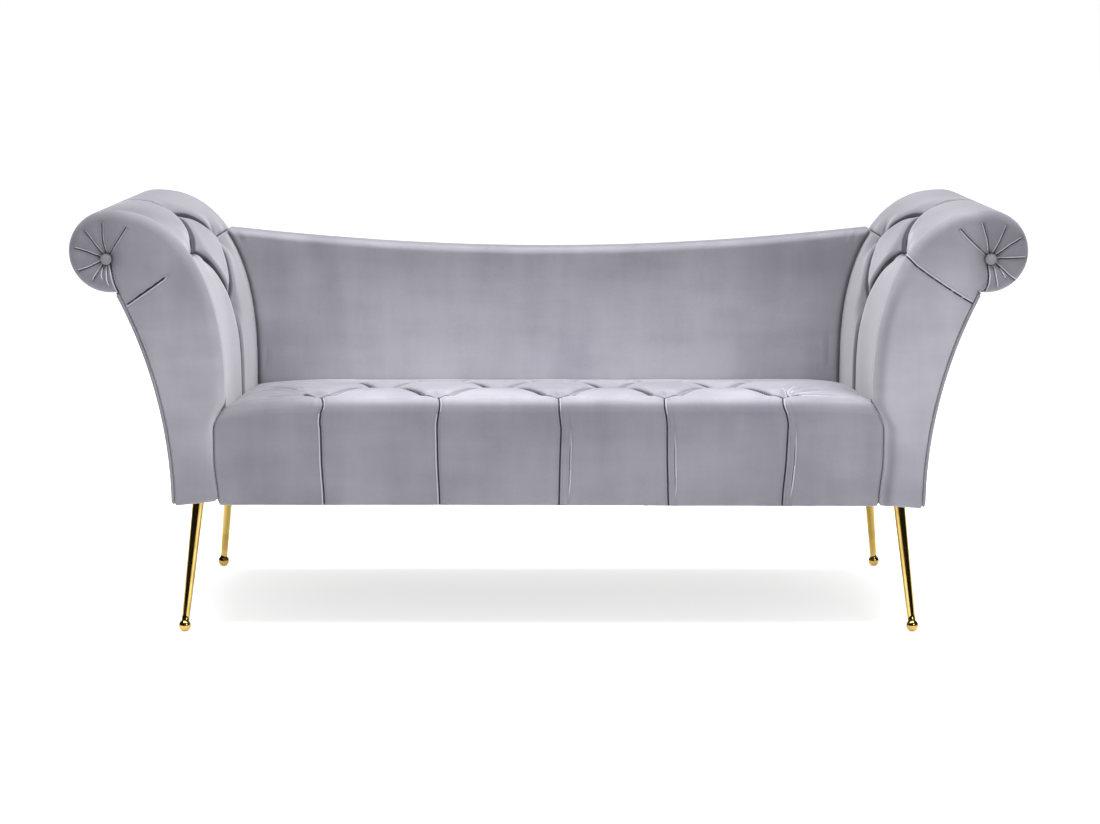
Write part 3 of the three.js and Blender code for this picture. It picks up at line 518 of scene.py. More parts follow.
def linked(name: str, data: bpy.types.ID) -> bpy.types.Object:
    """Makes an object and links it to the scene.

    Args:
        name: The object's name.
        data: Its mesh, light or camera.

    Returns:
        The object.
    """
    item = bpy.data.objects.new(name, data)
    bpy.context.scene.collection.objects.link(item)
    return item


@contextmanager
def edited(mesh: bpy.types.Mesh) -> Iterator[bmesh.types.BMesh]:
    """Opens a mesh for editing, and at the end turns its faces out and stores it.

    Args:
        mesh: The mesh.

    Yields:
        The mesh, open.
    """
    work = bmesh.new()
    work.from_mesh(mesh)
    yield work
    bmesh.ops.recalc_face_normals(work, faces=work.faces)
    work.to_mesh(mesh)
    work.free()


def tidied(name: str, mesh: bpy.types.Mesh, merge: float = 0.01 * MM) -> bpy.types.Object:
    """Merges a mesh's doubles, turns its faces out and links it as an object.

    Args:
        name: The object's name.
        mesh: A closed mesh.
        merge: Points closer than this become one.

    Returns:
        The object, at the origin.
    """
    with edited(mesh) as work:
        bmesh.ops.remove_doubles(work, verts=work.verts, dist=merge)
        bmesh.ops.dissolve_degenerate(work, edges=work.edges, dist=merge)
    return linked(name, mesh)


def one_grid(name: str, points: Array, looks: Looks | None = None) -> bpy.types.Object:
    """Makes a piece whose skin is one grid of points.

    Args:
        name: The piece's name.
        points: The points, with the coordinates in the last axis.
        looks: What the finish has to know of each point.

    Returns:
        The piece's object.
    """
    shell = Shell()
    shell.grid(shell.add(points, looks))
    return shell.object(name)


def closed_sheet(name: str, outer: Array, inner: Array, looks: Looks | None = None) -> bpy.types.Object:
    """Makes a piece that is closed between an outer and an inner grid of points.

    Args:
        name: The piece's name.
        outer: The grid of its outer side.
        inner: The grid of its inner side, which may be coarser.
        looks: What the finish has to know of each outer point.

    Returns:
        The piece's object.
    """
    shell = Shell()
    shell.closed(shell.add(outer, looks), shell.add(inner))
    return shell.object(name)


class Nodes:
    """Short calls to build a node tree."""

    def __init__(self, tree: bpy.types.NodeTree) -> None:
        """Takes the tree that is built."""
        self.tree = tree

    def add(self, kind: str, inputs: dict[str | int, object] | None = None, **settings: object) -> bpy.types.Node:
        """Adds a node.

        Args:
            kind: The node's type in Blender.
            inputs: A value, or a socket to link, for each of the node's inputs by name or number.
            **settings: The node's own settings.

        Returns:
            The node.
        """
        node = self.tree.nodes.new(kind)
        for name, value in settings.items():
            setattr(node, name, value)
        for name, value in (inputs or {}).items():
            self.put(node.inputs[name], value)
        return node

    def put(self, socket: bpy.types.NodeSocket, value: object) -> None:
        """Links a socket to another, or sets its value.

        Args:
            socket: An input.
            value: A socket or a value. A colour may leave out its alpha.
        """
        if isinstance(value, bpy.types.NodeSocket):
            self.tree.links.new(value, socket)
        elif isinstance(value, tuple) and socket.type == "RGBA" and len(value) == 3:
            socket.default_value = (*value, 1.0)
        else:
            socket.default_value = value

    def math(self, operation: str, *values: object, clamp: bool = False) -> bpy.types.NodeSocket:
        """The output of a Math node."""
        inputs = dict(enumerate(values))
        return self.add("ShaderNodeMath", inputs, operation=operation, use_clamp=clamp).outputs[0]

    def noise(self, place: bpy.types.NodeSocket, scale: float, detail: float = 2.0, seed: float = 0.0,
              roughness: float = 0.5) -> bpy.types.NodeSocket:
        """A noise pattern from 0 to 1, whose fourth coordinate is its seed."""
        inputs = {"Vector": place, "W": seed, "Scale": scale, "Detail": detail, "Roughness": roughness}
        return self.add("ShaderNodeTexNoise", inputs, noise_dimensions="4D").outputs[0]

    def spread(self, value: object, low: float, high: float, to_low: float = 0.0, to_high: float = 1.0,
               kind: str = "SMOOTHSTEP") -> bpy.types.NodeSocket:
        """Stretches the stretch of values from low to high over another one."""
        inputs = {0: value, 1: low, 2: high, 3: to_low, 4: to_high}
        return self.add("ShaderNodeMapRange", inputs, interpolation_type=kind).outputs[0]

    def grain(self, place: bpy.types.NodeSocket, scale: Colour, detail: float, seed: float, roughness: float = 0.5,
              turn: Colour = (0, 0, 0)) -> bpy.types.NodeSocket:
        """A noise pattern that is stretched, and turned, by a Mapping node."""
        mapping = self.add("ShaderNodeMapping", {"Vector": place, "Scale": scale, "Rotation": turn})
        return self.noise(mapping.outputs[0], 1.0, detail, seed, roughness)

    def blend(self, share: object, low: object, high: object, way: str = "MIX") -> bpy.types.NodeSocket:
        """A mix of two colours."""
        node = self.add("ShaderNodeMix", {0: share, 6: low, 7: high}, data_type="RGBA", blend_type=way)
        return node.outputs[2]

    def grey(self, value: object) -> bpy.types.NodeSocket:
        """A grey as bright as a value."""
        return self.add("ShaderNodeCombineColor", {0: value, 1: value, 2: value}).outputs[0]

    def vector(self, *parts: object) -> bpy.types.NodeSocket:
        """A vector from its X, Y and Z."""
        return self.add("ShaderNodeCombineXYZ", dict(enumerate(parts))).outputs[0]

    def bump(self, strength: float, distance: float, height: object, **others: object) -> bpy.types.NodeSocket:
        """A normal that follows a height, on top of another one where that is given as Normal."""
        inputs = {"Strength": strength, "Distance": distance, "Height": height, **others}
        return self.add("ShaderNodeBump", inputs).outputs[0]

    def surface(self, colour: object, roughness: object, others: dict[str, object]) -> bpy.types.Node:
        """A Principled shader, whose other inputs go by their names."""
        return self.add("ShaderNodeBsdfPrincipled", {"Base Color": colour, "Roughness": roughness, **others})

    def spun(self, low: object, high: object, seed: object) -> bpy.types.NodeSocket:
        """A random turn about Z for each instance, between two angles.

        Args:
            low: The smallest angle.
            high: The largest angle.
            seed: The seed.

        Returns:
            The rotation.
        """
        inputs = {2: low, 3: high, "Seed": seed}
        angle = self.add("FunctionNodeRandomValue", inputs, data_type="FLOAT").outputs[1]
        return self.add("FunctionNodeEulerToRotation", {0: self.vector(0.0, 0.0, angle)}).outputs[0]


def linear(red: int, green: int, blue: int) -> Colour:
    """A colour on a screen, from 0 to 255, as the light that it stands for.

    Args:
        red: Its red.
        green: Its green.
        blue: Its blue.

    Returns:
        The light, from 0 to 1.
    """
    shares = [value / 255 for value in (red, green, blue)]
    red_light, green_light, blue_light = (
        share / 12.92 if share <= 0.04045 else ((share + 0.055) / 1.055) ** 2.4 for share in shares
    )
    return red_light, green_light, blue_light


@dataclass(frozen=True)
class Finish:
    """A finish, as a material that is built from nodes."""

    name: str

    def build(self) -> bpy.types.Material:
        """Makes the material.

        Returns:
            The material, with its shader linked to its output.
        """
        material = bpy.data.materials.new(self.name)
        material.use_nodes = True
        material.node_tree.nodes.clear()
        nodes = Nodes(material.node_tree)
        shader = self.shader(nodes, nodes.add("ShaderNodeTexCoord").outputs["Object"])
        nodes.add("ShaderNodeOutputMaterial", {"Surface": shader.outputs[0]})
        return material

    def shader(self, nodes: Nodes, place: bpy.types.NodeSocket) -> bpy.types.Node:
        """Builds the shader.

        Args:
            nodes: The material's node tree.
            place: Object coordinates.

        Returns:
            The shader node.
        """
        raise NotImplementedError


@dataclass(frozen=True)
class Velvet(Finish):
    """Short-pile velvet: soft sheen on turning surfaces, brushed patches, painted shade at folds and painted light."""

    name: str = "velvet"
    base: Colour = linear(110, 109, 117)
    light: Colour = linear(125, 124, 131)
    # The colour of the painted shade in folds, round pinches and along edges.
    fold: Colour = linear(34, 33, 42)
    # The colour of the painted highlight on the lips of folds.
    lip: Colour = linear(196, 194, 202)
    # How far the blue follows the painted light and shade.
    blue_share: float = 0.96

    def shader(self, nodes: Nodes, place: bpy.types.NodeSocket) -> bpy.types.Node:
        """Builds the shader.

        Args:
            nodes: The material's node tree.
            place: Object coordinates.

        Returns:
            The shader node.
        """
        pile = nodes.noise(place, 900.0, 2.0, 3.3)
        nap = self.nap(nodes, place)
        colour = nodes.blend(nodes.spread(nap, 0.36, 0.64), self.base, self.light)
        colour = nodes.blend(1.0, colour, nodes.grey(nodes.spread(pile, 0.3, 0.7, 0.9, 1.07, "LINEAR")), "MULTIPLY")
        near, side, shade, painted_light_level = (
            nodes.add("ShaderNodeAttribute", attribute_name=name).outputs["Fac"] for name in LOOK_NAMES
        )
        fold = nodes.math("MULTIPLY", nodes.math("SUBTRACT", 1.0, near), FAR_FOLD)
        # Painted light and shade: each point's light level makes the colour lighter or darker, the blue a little less.
        lit = nodes.math("ADD", painted_light_level, 1.0)
        blue = nodes.math("ADD", nodes.math("MULTIPLY", painted_light_level, self.blue_share), 1.0)
        painted_light_and_shade = nodes.add("ShaderNodeCombineColor", {0: lit, 1: lit, 2: blue}).outputs[0]
        colour = nodes.blend(1.0, colour, painted_light_and_shade, "MULTIPLY")
        # Painted highlight: a lighter band on one lip of each fold.
        lip = nodes.math("MULTIPLY", nodes.spread(fold, 0.0014, 0.0022), nodes.spread(fold, 0.0042, 0.0028))
        lip = nodes.math("MULTIPLY", lip, nodes.spread(side, 0.1, 0.7, 0.12, 0.7))
        colour = nodes.blend(lip, colour, self.lip)
        # Painted shade: soft darkening near a fold, a dark line along it, and each point's own painted shade.
        soft = nodes.spread(fold, 0.0090, 0.0, 0.0, 0.22)
        line = nodes.spread(fold, 0.0019, 0.0008, 0.0, 0.96)
        dark = nodes.math("MAXIMUM", nodes.math("MAXIMUM", soft, line), shade)
        colour = nodes.blend(dark, colour, self.fold)
        fine = nodes.bump(0.22, 0.0004, pile)
        sheen = {"Sheen Weight": 0.55, "Sheen Roughness": 0.34, "Sheen Tint": (0.93, 0.92, 0.96)}
        normal = {"Normal": nodes.bump(0.16, 0.0011, nodes.noise(place, 70.0, 3.0, 8.8), Normal=fine)}
        roughness = nodes.spread(nap, 0.3, 0.7, 0.78, 0.92)
        return nodes.surface(colour, roughness, {"Specular IOR Level": 0.12} | sheen | normal)

    def nap(self, nodes: Nodes, place: bpy.types.NodeSocket) -> bpy.types.NodeSocket:
        """How the pile is brushed, as a pattern from 0 to 1.

        Args:
            nodes: The material's node tree.
            place: Object coordinates.

        Returns:
            The pattern.
        """
        patches = nodes.noise(place, 5.0, 3.0, 1.7)
        brushed = nodes.grain(place, (16, 16, 3.2), 4.0, 5.2, 0.6, (0, 0, 0.2))
        across = nodes.grain(place, (5, 14, 26), 3.0, 9.1, 0.55, (0, 0.3, 0))
        nap = nodes.math("ADD", nodes.math("MULTIPLY", patches, 0.5), nodes.math("MULTIPLY", brushed, 0.3))
        return nodes.math("ADD", nap, nodes.math("MULTIPLY", across, 0.2))


@dataclass(frozen=True)
class Brass(Finish):
    """Polished gilt steel, with faint draw lines and a few fine scratches."""

    name: str = "polished_brass"
    bright: Colour = (0.51, 0.36, 0.112)
    deep: Colour = (0.4, 0.275, 0.072)

    def shader(self, nodes: Nodes, place: bpy.types.NodeSocket) -> bpy.types.Node:
        """Builds the shader.

        Args:
            nodes: The material's node tree.
            place: Object coordinates.

        Returns:
            The shader node.
        """
        cloud = nodes.noise(place, 26.0, 3.0, 0.6)
        wear = nodes.spread(nodes.noise(place, 160.0, 4.0, 4.4, 0.7), 0.62, 0.75, 0.0, 0.06)
        roughness = nodes.math("ADD", nodes.spread(cloud, 0.35, 0.7, 0.05, 0.12), wear)
        colour = nodes.blend(nodes.spread(cloud, 0.4, 0.62), self.bright, self.deep)
        bump = nodes.bump(0.03, 0.0003, nodes.grain(place, (900, 900, 9), 2.0, 2.2))
        return nodes.surface(colour, roughness, {"Metallic": 1.0, "Normal": bump})


@dataclass(frozen=True)
class Steel(Finish):
    """Plain steel: drawn spring wire or zinc-plated sheet, with spangle and soft scratches."""

    name: str = "steel"
    base: Colour = (0.3, 0.31, 0.33)
    roughness: float = 0.38

    def shader(self, nodes: Nodes, place: bpy.types.NodeSocket) -> bpy.types.Node:
        """Builds the shader.

        Args:
            nodes: The material's node tree.
            place: Object coordinates.

        Returns:
            The shader node.
        """
        spangle = nodes.spread(nodes.noise(place, 240.0, 3.0, 2.9), 0.35, 0.65, 0.78, 1.1)
        scratch = nodes.grain(place, (60, 900, 900), 2.0, 7.1)
        colour = nodes.blend(1.0, self.base, nodes.grey(spangle), "MULTIPLY")
        roughness = nodes.spread(scratch, 0.3, 0.7, self.roughness - 0.08, self.roughness + 0.12)
        return nodes.surface(colour, roughness, {"Metallic": 1.0, "Normal": nodes.bump(0.08, 0.0003, scratch)})


@dataclass(frozen=True)
class Timber(Finish):
    """Sawn softwood, with growth rings along its length, and knots."""

    name: str = "timber"
    early: Colour = (0.62, 0.43, 0.25)
    late: Colour = (0.38, 0.22, 0.1)

    def shader(self, nodes: Nodes, place: bpy.types.NodeSocket) -> bpy.types.Node:
        """Builds the shader.

        Args:
            nodes: The material's node tree.
            place: Object coordinates.

        Returns:
            The shader node.
        """
        rings = nodes.math("SINE", nodes.math("MULTIPLY", nodes.grain(place, (1.5, 9, 9), 3.0, 1.1), 95.0))
        fibre = nodes.grain(place, (14, 420, 420), 3.0, 6.6)
        grain = nodes.math("ADD", nodes.spread(rings, -0.4, 1.0, 0.0, 0.7), nodes.spread(fibre, 0.4, 0.7, 0.0, 0.3))
        colour = nodes.blend(grain, self.early, self.late)
        return nodes.surface(
            colour, nodes.spread(fibre, 0.3, 0.7, 0.6, 0.8), {"Normal": nodes.bump(0.2, 0.0006, fibre)}
        )


@dataclass(frozen=True)
class Plywood(Finish):
    """Birch plywood: pale faces with fine grain, and plies that show along the edges."""

    name: str = "plywood"
    face: Colour = (0.66, 0.49, 0.3)
    ply: Colour = (0.42, 0.27, 0.14)
    pitch: float = 0.0028

    def shader(self, nodes: Nodes, place: bpy.types.NodeSocket) -> bpy.types.Node:
        """Builds the shader.

        Args:
            nodes: The material's node tree.
            place: Object coordinates.

        Returns:
            The shader node.
        """
        grain = nodes.grain(place, (30, 30, 260), 3.0, 3.8)
        apart = nodes.add("ShaderNodeSeparateXYZ", {0: place}).outputs[1]
        plies = nodes.math("SINE", nodes.math("MULTIPLY", apart, 2 * math.pi / self.pitch))
        dark = nodes.math("ADD", nodes.spread(grain, 0.4, 0.7, 0.0, 0.5), nodes.spread(plies, 0.2, 1.0, 0.0, 0.4))
        colour = nodes.blend(dark, self.face, self.ply)
        return nodes.surface(colour, 0.72, {"Normal": nodes.bump(0.15, 0.0004, grain)})


@dataclass(frozen=True)
class Foam(Finish):
    """Open-cell upholstery foam."""

    name: str = "foam"
    base: Colour = (0.78, 0.72, 0.55)
    cell: Colour = (0.5, 0.43, 0.28)

    def shader(self, nodes: Nodes, place: bpy.types.NodeSocket) -> bpy.types.Node:
        """Builds the shader.

        Args:
            nodes: The material's node tree.
            place: Object coordinates.

        Returns:
            The shader node.
        """
        cells = nodes.add("ShaderNodeTexVoronoi", {"Vector": place, "Scale": 700.0}).outputs["Distance"]
        colour = nodes.blend(nodes.spread(cells, 0.1, 0.7), self.cell, self.base)
        return nodes.surface(colour, 0.95, {"Normal": nodes.bump(0.5, 0.0008, cells)})


@dataclass(frozen=True)
class DustCloth(Finish):
    """Black spunbonded cloth, with its dimpled bonding pattern."""

    name: str = "dust_cloth"
    base: Colour = (0.012, 0.012, 0.014)
    fibre: Colour = (0.05, 0.05, 0.055)

    def shader(self, nodes: Nodes, place: bpy.types.NodeSocket) -> bpy.types.Node:
        """Builds the shader.

        Args:
            nodes: The material's node tree.
            place: Object coordinates.

        Returns:
            The shader node.
        """
        dimples = nodes.add("ShaderNodeTexVoronoi", {"Vector": place, "Scale": 620.0, "Randomness": 0.25})
        fibres = nodes.noise(place, 420.0, 4.0, 2.4, 0.75)
        bump = nodes.bump(0.35, 0.0004, nodes.math("ADD", dimples.outputs["Distance"], fibres))
        colour = nodes.blend(nodes.spread(fibres, 0.4, 0.7), self.base, self.fibre)
        return nodes.surface(colour, 0.9, {"Sheen Weight": 0.15, "Normal": bump})


@dataclass(frozen=True)
class Paper(Finish):
    """The studio's pale floor, faintly uneven, with a glow of its own."""

    name: str = "floor"
    shade: float = 0.86
    unevenness: float = 0.01
    glow: float = 0.55

    def shader(self, nodes: Nodes, place: bpy.types.NodeSocket) -> bpy.types.Node:
        """Builds the shader.

        Args:
            nodes: The material's node tree.
            place: Object coordinates.

        Returns:
            The shader node.
        """
        low, high = self.shade - self.unevenness, self.shade + self.unevenness
        colour = nodes.grey(nodes.spread(nodes.noise(place, 3.0), 0.3, 0.7, low, high))
        glow = {"Emission Color": (1.0, 1.0, 1.0), "Emission Strength": self.glow}
        return nodes.surface(colour, 0.7, {"Specular IOR Level": 0.2} | glow)


class Finishes:
    """The couch's materials, each made once."""

    def __init__(self) -> None:
        """Makes the materials."""
        spring = Steel("spring_steel", (0.16, 0.165, 0.175), 0.42)
        zinc = Steel("zinc_steel", (0.6, 0.61, 0.63), 0.34)
        looks = (Velvet(), Timber(), Plywood(), Foam(), DustCloth(), Brass(), spring, zinc)
        self.made = {Slot(look.name): look.build() for look in looks}

    def dress(self, item: bpy.types.Object, slot: Slot) -> None:
        """Gives an object one material."""
        item.data.materials.clear()
        item.data.materials.append(self.made[slot])

    def dress_nodes(self) -> None:
        """Gives every node of the frame the material of its slot in the record."""
        for entry in frame["record"]["subparts"]:
            self.dress(frame["nodes"][entry["node"]], Slot(entry["material_slot"]))


@dataclass
class Bench:
    """Where finished pieces are dressed, tied to the frame and reported."""

    finishes: Finishes
    triangles: int = 0

    def place(self, item: bpy.types.Object, slot: Slot, nodes: Sequence[str] = (), fill: float | None = None) -> None:
        """Finishes one piece.

        Args:
            item: The piece's object.
            slot: The material slot that it takes its finish from.
            nodes: The frame's nodes that it stands for.
            fill: How full it is, from 0 to 1, if it is padded. Not used.
        """
        self.finishes.dress(item, slot)
        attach(item, "root")
        if nodes:
            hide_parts(*nodes)
        faces = sum(len(polygon.vertices) - 2 for polygon in item.data.polygons)
        self.triangles += faces
        log.info("%s: %d triangles, %s", item.name, faces, slot.value)


@dataclass(frozen=True)
class ArmSection:
    """The section of the right arm, the same from front to rear."""

    pad_face: float = 0.578
    underside: float = 0.238
    timber_bottom: float = 0.242
    flare_start: float = 0.430
    flare_exponent: float = 2.3
    top: float = 0.763
    roll_radius: float = 0.073
    roll_x: float = 0.777
    base_outer: float = 0.677
    notch_angle: float = math.radians(-97)
    foam_top: float = 0.372
    edge_step: float = 0.0152
    edge_bulge: float = 0.0070
    bulge_rise: float = 0.085
    soft_gap: float = 0.0012

    @property
    def roll_z(self) -> float:
        """Height of the roll's centre."""
        return self.top - self.roll_radius

    @property
    def rise(self) -> float:
        """Height of the arm over its underside."""
        return self.top - self.underside

    def flare_x(self, height: Array | float) -> Array:
        """Distance of the arm's inner side from the middle of the couch, at a height.

        Args:
            height: Height over the floor.

        Returns:
            The distance.
        """
        share = np.clip((height - self.flare_start) / (self.top - self.flare_start), 0, 1)
        power = self.flare_exponent
        return self.roll_x - (self.roll_x - self.pad_face) * (1 - share**power) ** (1 / power)

    def step_share(self, height: Array | float) -> Array:
        """How far the faces' inner edges have stepped back to let the seat in, at a height."""
        return smooth((self.flare_start - height) / (self.flare_start - self.foam_top))

    def inner_edge_x(self, height: Array | float) -> Array:
        """Distance of a face's inner edge from the middle of the couch, at a height."""
        bulge = smooth((height - self.underside) / self.bulge_rise)
        return self.flare_x(height) + (self.edge_step + self.edge_bulge * bulge) * self.step_share(height)

    @cached_property
    def outer_radius(self) -> float:
        """Radius of the outer side's hollow curve."""
        rise = self.roll_z + self.roll_radius * math.sin(self.notch_angle) - self.underside
        reach = self.roll_x + self.roll_radius * math.cos(self.notch_angle) - self.base_outer
        return (rise**2 + reach**2) / (2 * reach)

    def outer_x(self, height: Array | float, inset: float = 0.0) -> Array:
        """Distance of the outer side from the middle of the couch, a given distance inside it."""
        radius = self.outer_radius
        return self.base_outer + radius - np.sqrt((radius + inset) ** 2 - (height - self.underside) ** 2)

    def outer_top(self, inset: float, clearance: float) -> float:
        """Height at which the outer side, inset by a distance, comes within a clearance of the roll.

        Args:
            inset: Distance inside the outer side.
            clearance: Distance from the roll.

        Returns:
            The height.
        """
        heights = np.linspace(self.underside, self.roll_z, 20001)
        gap = np.hypot(self.outer_x(heights, inset) - self.roll_x, heights - self.roll_z)
        return float(heights[np.argmax(gap < self.roll_radius + clearance)])

    @cached_property
    def route(self) -> Route:
        """The line that the arm's skin follows, up the inner side, over the top and under the roll."""
        turn = np.linspace(0, math.pi / 2, 900)
        power = 2 / self.flare_exponent
        flare = np.stack(
            [
                self.roll_x - (self.roll_x - self.pad_face) * np.cos(turn[1:-1]) ** power,
                self.flare_start + (self.top - self.flare_start) * np.sin(turn[1:-1]) ** power,
            ],
            -1,
        )
        angle = np.linspace(math.pi / 2, self.notch_angle, 600)
        roll = np.stack([np.cos(angle), np.sin(angle)], -1) * self.roll_radius + (self.roll_x, self.roll_z)
        start = [(self.pad_face, self.timber_bottom), (self.pad_face, self.flare_start)]
        return Route(np.concatenate([start, flare, roll]))

    def length_at(self, height: float) -> float:
        """Length along the route of its first point at a height."""
        route = self.route
        return float(route.reach[np.argmax(route.points[:, 1] >= height)])


@dataclass
class Arm:
    """One arm: its tufted skin, two pleated faces, outer panel, welts and buttons.

    It is laid out as the right arm's front half, and mirrored.
    """

    side: Side
    section: ArmSection = field(default_factory=ArmSection)
    half_depth: float = 0.290
    face_thickness: float = 0.022
    spacing: float = 0.0032
    pad_proud: float = 0.014
    pad_full: float = 0.030
    pad_full_rise: float = 0.090
    pad_tail: float = 0.012
    pad_tail_length: float = 0.110
    lower_tuft: float = 0.333
    side_tuft: float = 0.447
    crown_tuft: float = 0.509
    tuft_reach: float = 0.142
    pleat: Crease = Crease(0.017, 0.040, thin=-0.0008, gloom=0.92, gloom_side=1, gloom_to=0.0055, far_share=0.5)
    roll_pleat: Crease = Crease(0.017, 0.026, thin=-0.0008, gloom=0.92, gloom_side=1, gloom_to=0.0065, far_share=0.7)
    back_pleat: Crease = Crease(0.00425, 0.040, 0.0014, 0.0022, gleam=0.2)
    fan_pleat: Crease = Crease(0.0050, 0.018, 0.0020, 0.0014, 0.0006, 0.0007, fade_out=0.004)
    fan_bow: float = 0.0022
    seam: Crease = Crease(0.0036, 0.014, 0.003, 0.0015, 0.0006, 0.0002)
    short_pleat: Crease = Crease(0.0020, 0.006, 0.0014, 0.0014, 0.0006, 0.0008, fade_out=0.012)
    right_crease: Crease = Crease(0.0016, 0.014, 0.0024, 0.0014, 0.0006)
    left_crease: Crease = Crease(0.0014, 0.012, 0.0024, 0.0014, 0.0006, fade_out=0.014)
    beside_crease: Crease = Crease(slit=0.0018, slit_width=0.0012, lip=0.0004, thin=0.0003, fade_in=0.02, fade_out=0.02)
    crease_shift: Point = (-0.0022, 0.0032)
    pinch_depth: float = 0.010
    pinch_radius: float = 0.034
    gather_length: float = 0.038
    edge_fade: float = 0.050
    face_rounding: float = 0.019
    sharp_rounding: float = 0.004
    welt: float = 0.0064
    welt_foot: float = 0.0105
    welt_bend: float = 0.0065
    welt_spacing: float = 0.005
    welt_slack: float = 0.15 * MM
    cover: float = 0.004
    panel_spacing: float = 0.006
    panel_slack: float = 0.0016
    button_offset: float = 0.006
    button_drop: float = 0.013
    button_radius: float = 0.010
    button_height: float = 0.008
    button_gathers: int = 12
    dimple_depth: float = 0.011
    dimple_reach: float = 0.026
    fan_start: float = math.radians(148)
    neck_rise: float = 0.440
    hem_corner: float = 0.0045
    hem_reach: float = 0.045
    hem_round: float = 0.009
    mark_fade: float = 0.008
    mark_snap: float = 1.2 * MM
    face_columns: int = 54
    fan_spacing: float = 0.0023
    rim_shade: float = 0.7
    rim_width: float = 0.0020
    pad_room: float = 2 * MM
    pad_rows_inside: int = 60

    @property
    def pad_edge(self) -> float:
        """Distance of the pad's ends from the middle of the arm's depth."""
        return self.half_depth - self.face_thickness

    @property
    def hem_lifts(self) -> Point:
        """How far a face's hem is drawn up at its inner and at its outer end. The right arm's hangs lower."""
        return (0.004, -0.0045) if self.side is Side.LEFT else (-0.004, -0.0095)

    @property
    def button(self) -> Point:
        """Centre of a face's button, in X and Z."""
        return self.section.roll_x + self.button_offset, self.section.roll_z - self.button_drop

    @cached_property
    def seam_foot(self) -> Point:
        """Where the seam from the button meets the welt."""
        height = self.section.outer_top(self.welt + HAIR, 0)
        return float(self.section.outer_x(height, self.welt + HAIR)), height

    @cached_property
    def tufts(self) -> dict[str, Point]:
        """The pinches of the pad, as length along the section's route and place along the depth."""
        section = self.section
        lower, side, crown = (
            section.length_at(section.underside + rise) for rise in (self.lower_tuft, self.side_tuft, self.crown_tuft)
        )
        return {
            "lower": (lower, 0.0),
            "front": (side, -self.tuft_reach),
            "rear": (side, self.tuft_reach),
            "crown": (crown, 0.0),
        }

    @cached_property
    def lengths(self) -> tuple[Array, Array, Array]:
        """Lengths along the route of the faces' stations: in the body, the neck and the fan."""
        route, section = self.section.route, self.section
        neck = section.length_at(section.underside + self.neck_rise)
        x, z = self.button
        angle = np.unwrap(np.arctan2(route.points[:, 1] - z, route.points[:, 0] - x))
        angle -= 2 * math.pi * round((angle[-1] + math.pi / 2) / (2 * math.pi))
        fan = float(route.reach[np.argmax(angle <= self.fan_start)])
        body = spaced(0, neck, self.spacing)
        between = np.linspace(neck, fan, self.face_columns)
        return body, between[1:-1], spaced(fan, route.length, self.fan_spacing)

    def arm_point(self, lengths: Array, depth: Array, drawn: Array | float) -> Array:
        """Points of the right arm's skin.

        Args:
            lengths: Lengths along the route.
            depth: Places along Y.
            drawn: How far the skin is drawn in.

        Returns:
            The points, in the last axis.
        """
        places, normals = self.section.route.at(lengths)
        moved = places - normals * np.asarray(drawn)[..., None]
        return np.stack([moved[..., 0], np.broadcast_to(depth, moved.shape[:-1]), moved[..., 1]], -1)

    def mirrored(self, points: Array, end: End = End.FRONT) -> Array:
        """Points of the right arm's front, moved to this side and end."""
        return points * np.array([self.side.value, -end.value, 1.0])

    def tufting(self) -> Tufting:
        """The folds of the pad: one diamond, with straight pleats from its corners to the edges.

        Returns:
            The folds and pinches, on a plan of length along the route and place along the depth.
        """
        tufts = self.tufts
        lower, front, rear, crown = tufts.values()
        to_front, foot = (front[0], -self.pad_edge), (self.foot_length, 0.0)
        lines = ((lower, front), (lower, rear), (front, crown), (rear, crown), (lower, foot), (front, to_front))
        folds = [
            Fold(line, replace(self.pleat, gloom_side=1 if line[1][0] > line[0][0] else -1)) for line in lines
        ]
        folds.append(Fold((crown, (self.section.route.length, 0.0)), self.roll_pleat))
        folds.append(Fold((rear, (rear[0], self.pad_edge)), self.back_pleat))
        pinches = {name: Pinch(place, self.pinch_depth, self.pinch_radius) for name, place in tufts.items()}
        headings = {"lower": (40, 150, 205, 320), "front": (12, 40, 140, 215, 330), "crown": (35, 120, 240, 325)}
        headings["rear"] = tuple(-angle for angle in headings["front"])
        for name, pinch in pinches.items():
            folds += gathers(pinch, headings[name], self.gather_length)
        return Tufting(folds, list(pinches.values()))

    @cached_property
    def foot_length(self) -> float:
        """Length along the route at which the pad starts, level with the top of the foam."""
        return self.section.foam_top + self.section.soft_gap - self.section.timber_bottom

    def pad_thickness(self, lengths: Array) -> Array:
        """Thickness of the pad along the route.

        Args:
            lengths: Lengths along the route.

        Returns:
            The thickness at each.
        """
        flare = self.section.flare_start - self.section.timber_bottom
        grown = smooth((lengths - flare) / self.pad_full_rise)
        tail = smooth((self.section.route.length - lengths) / self.pad_tail_length)
        return mix(self.pad_tail, mix(self.pad_proud, self.pad_full, grown), tail)

    def skin(self) -> bpy.types.Object:
        """Makes the tufted pad over the arm's inner side, top and roll.

        Returns:
            The pad's object.
        """
        shared = np.concatenate(self.lengths)
        lengths = np.concatenate([[self.foot_length], shared[shared > self.foot_length + 0.5 * MM]])
        depths = spaced(self.pad_edge, -self.pad_edge, self.spacing)
        tufting = self.tufting()
        plan = np.stack(np.meshgrid(lengths, depths, indexing="ij"), -1)
        inside = plan[1:-1, 1:-1]
        inside[:] = tufting.snapped(inside, 0.5 * self.spacing)
        drawn, looks = tufting.drawn(plan)
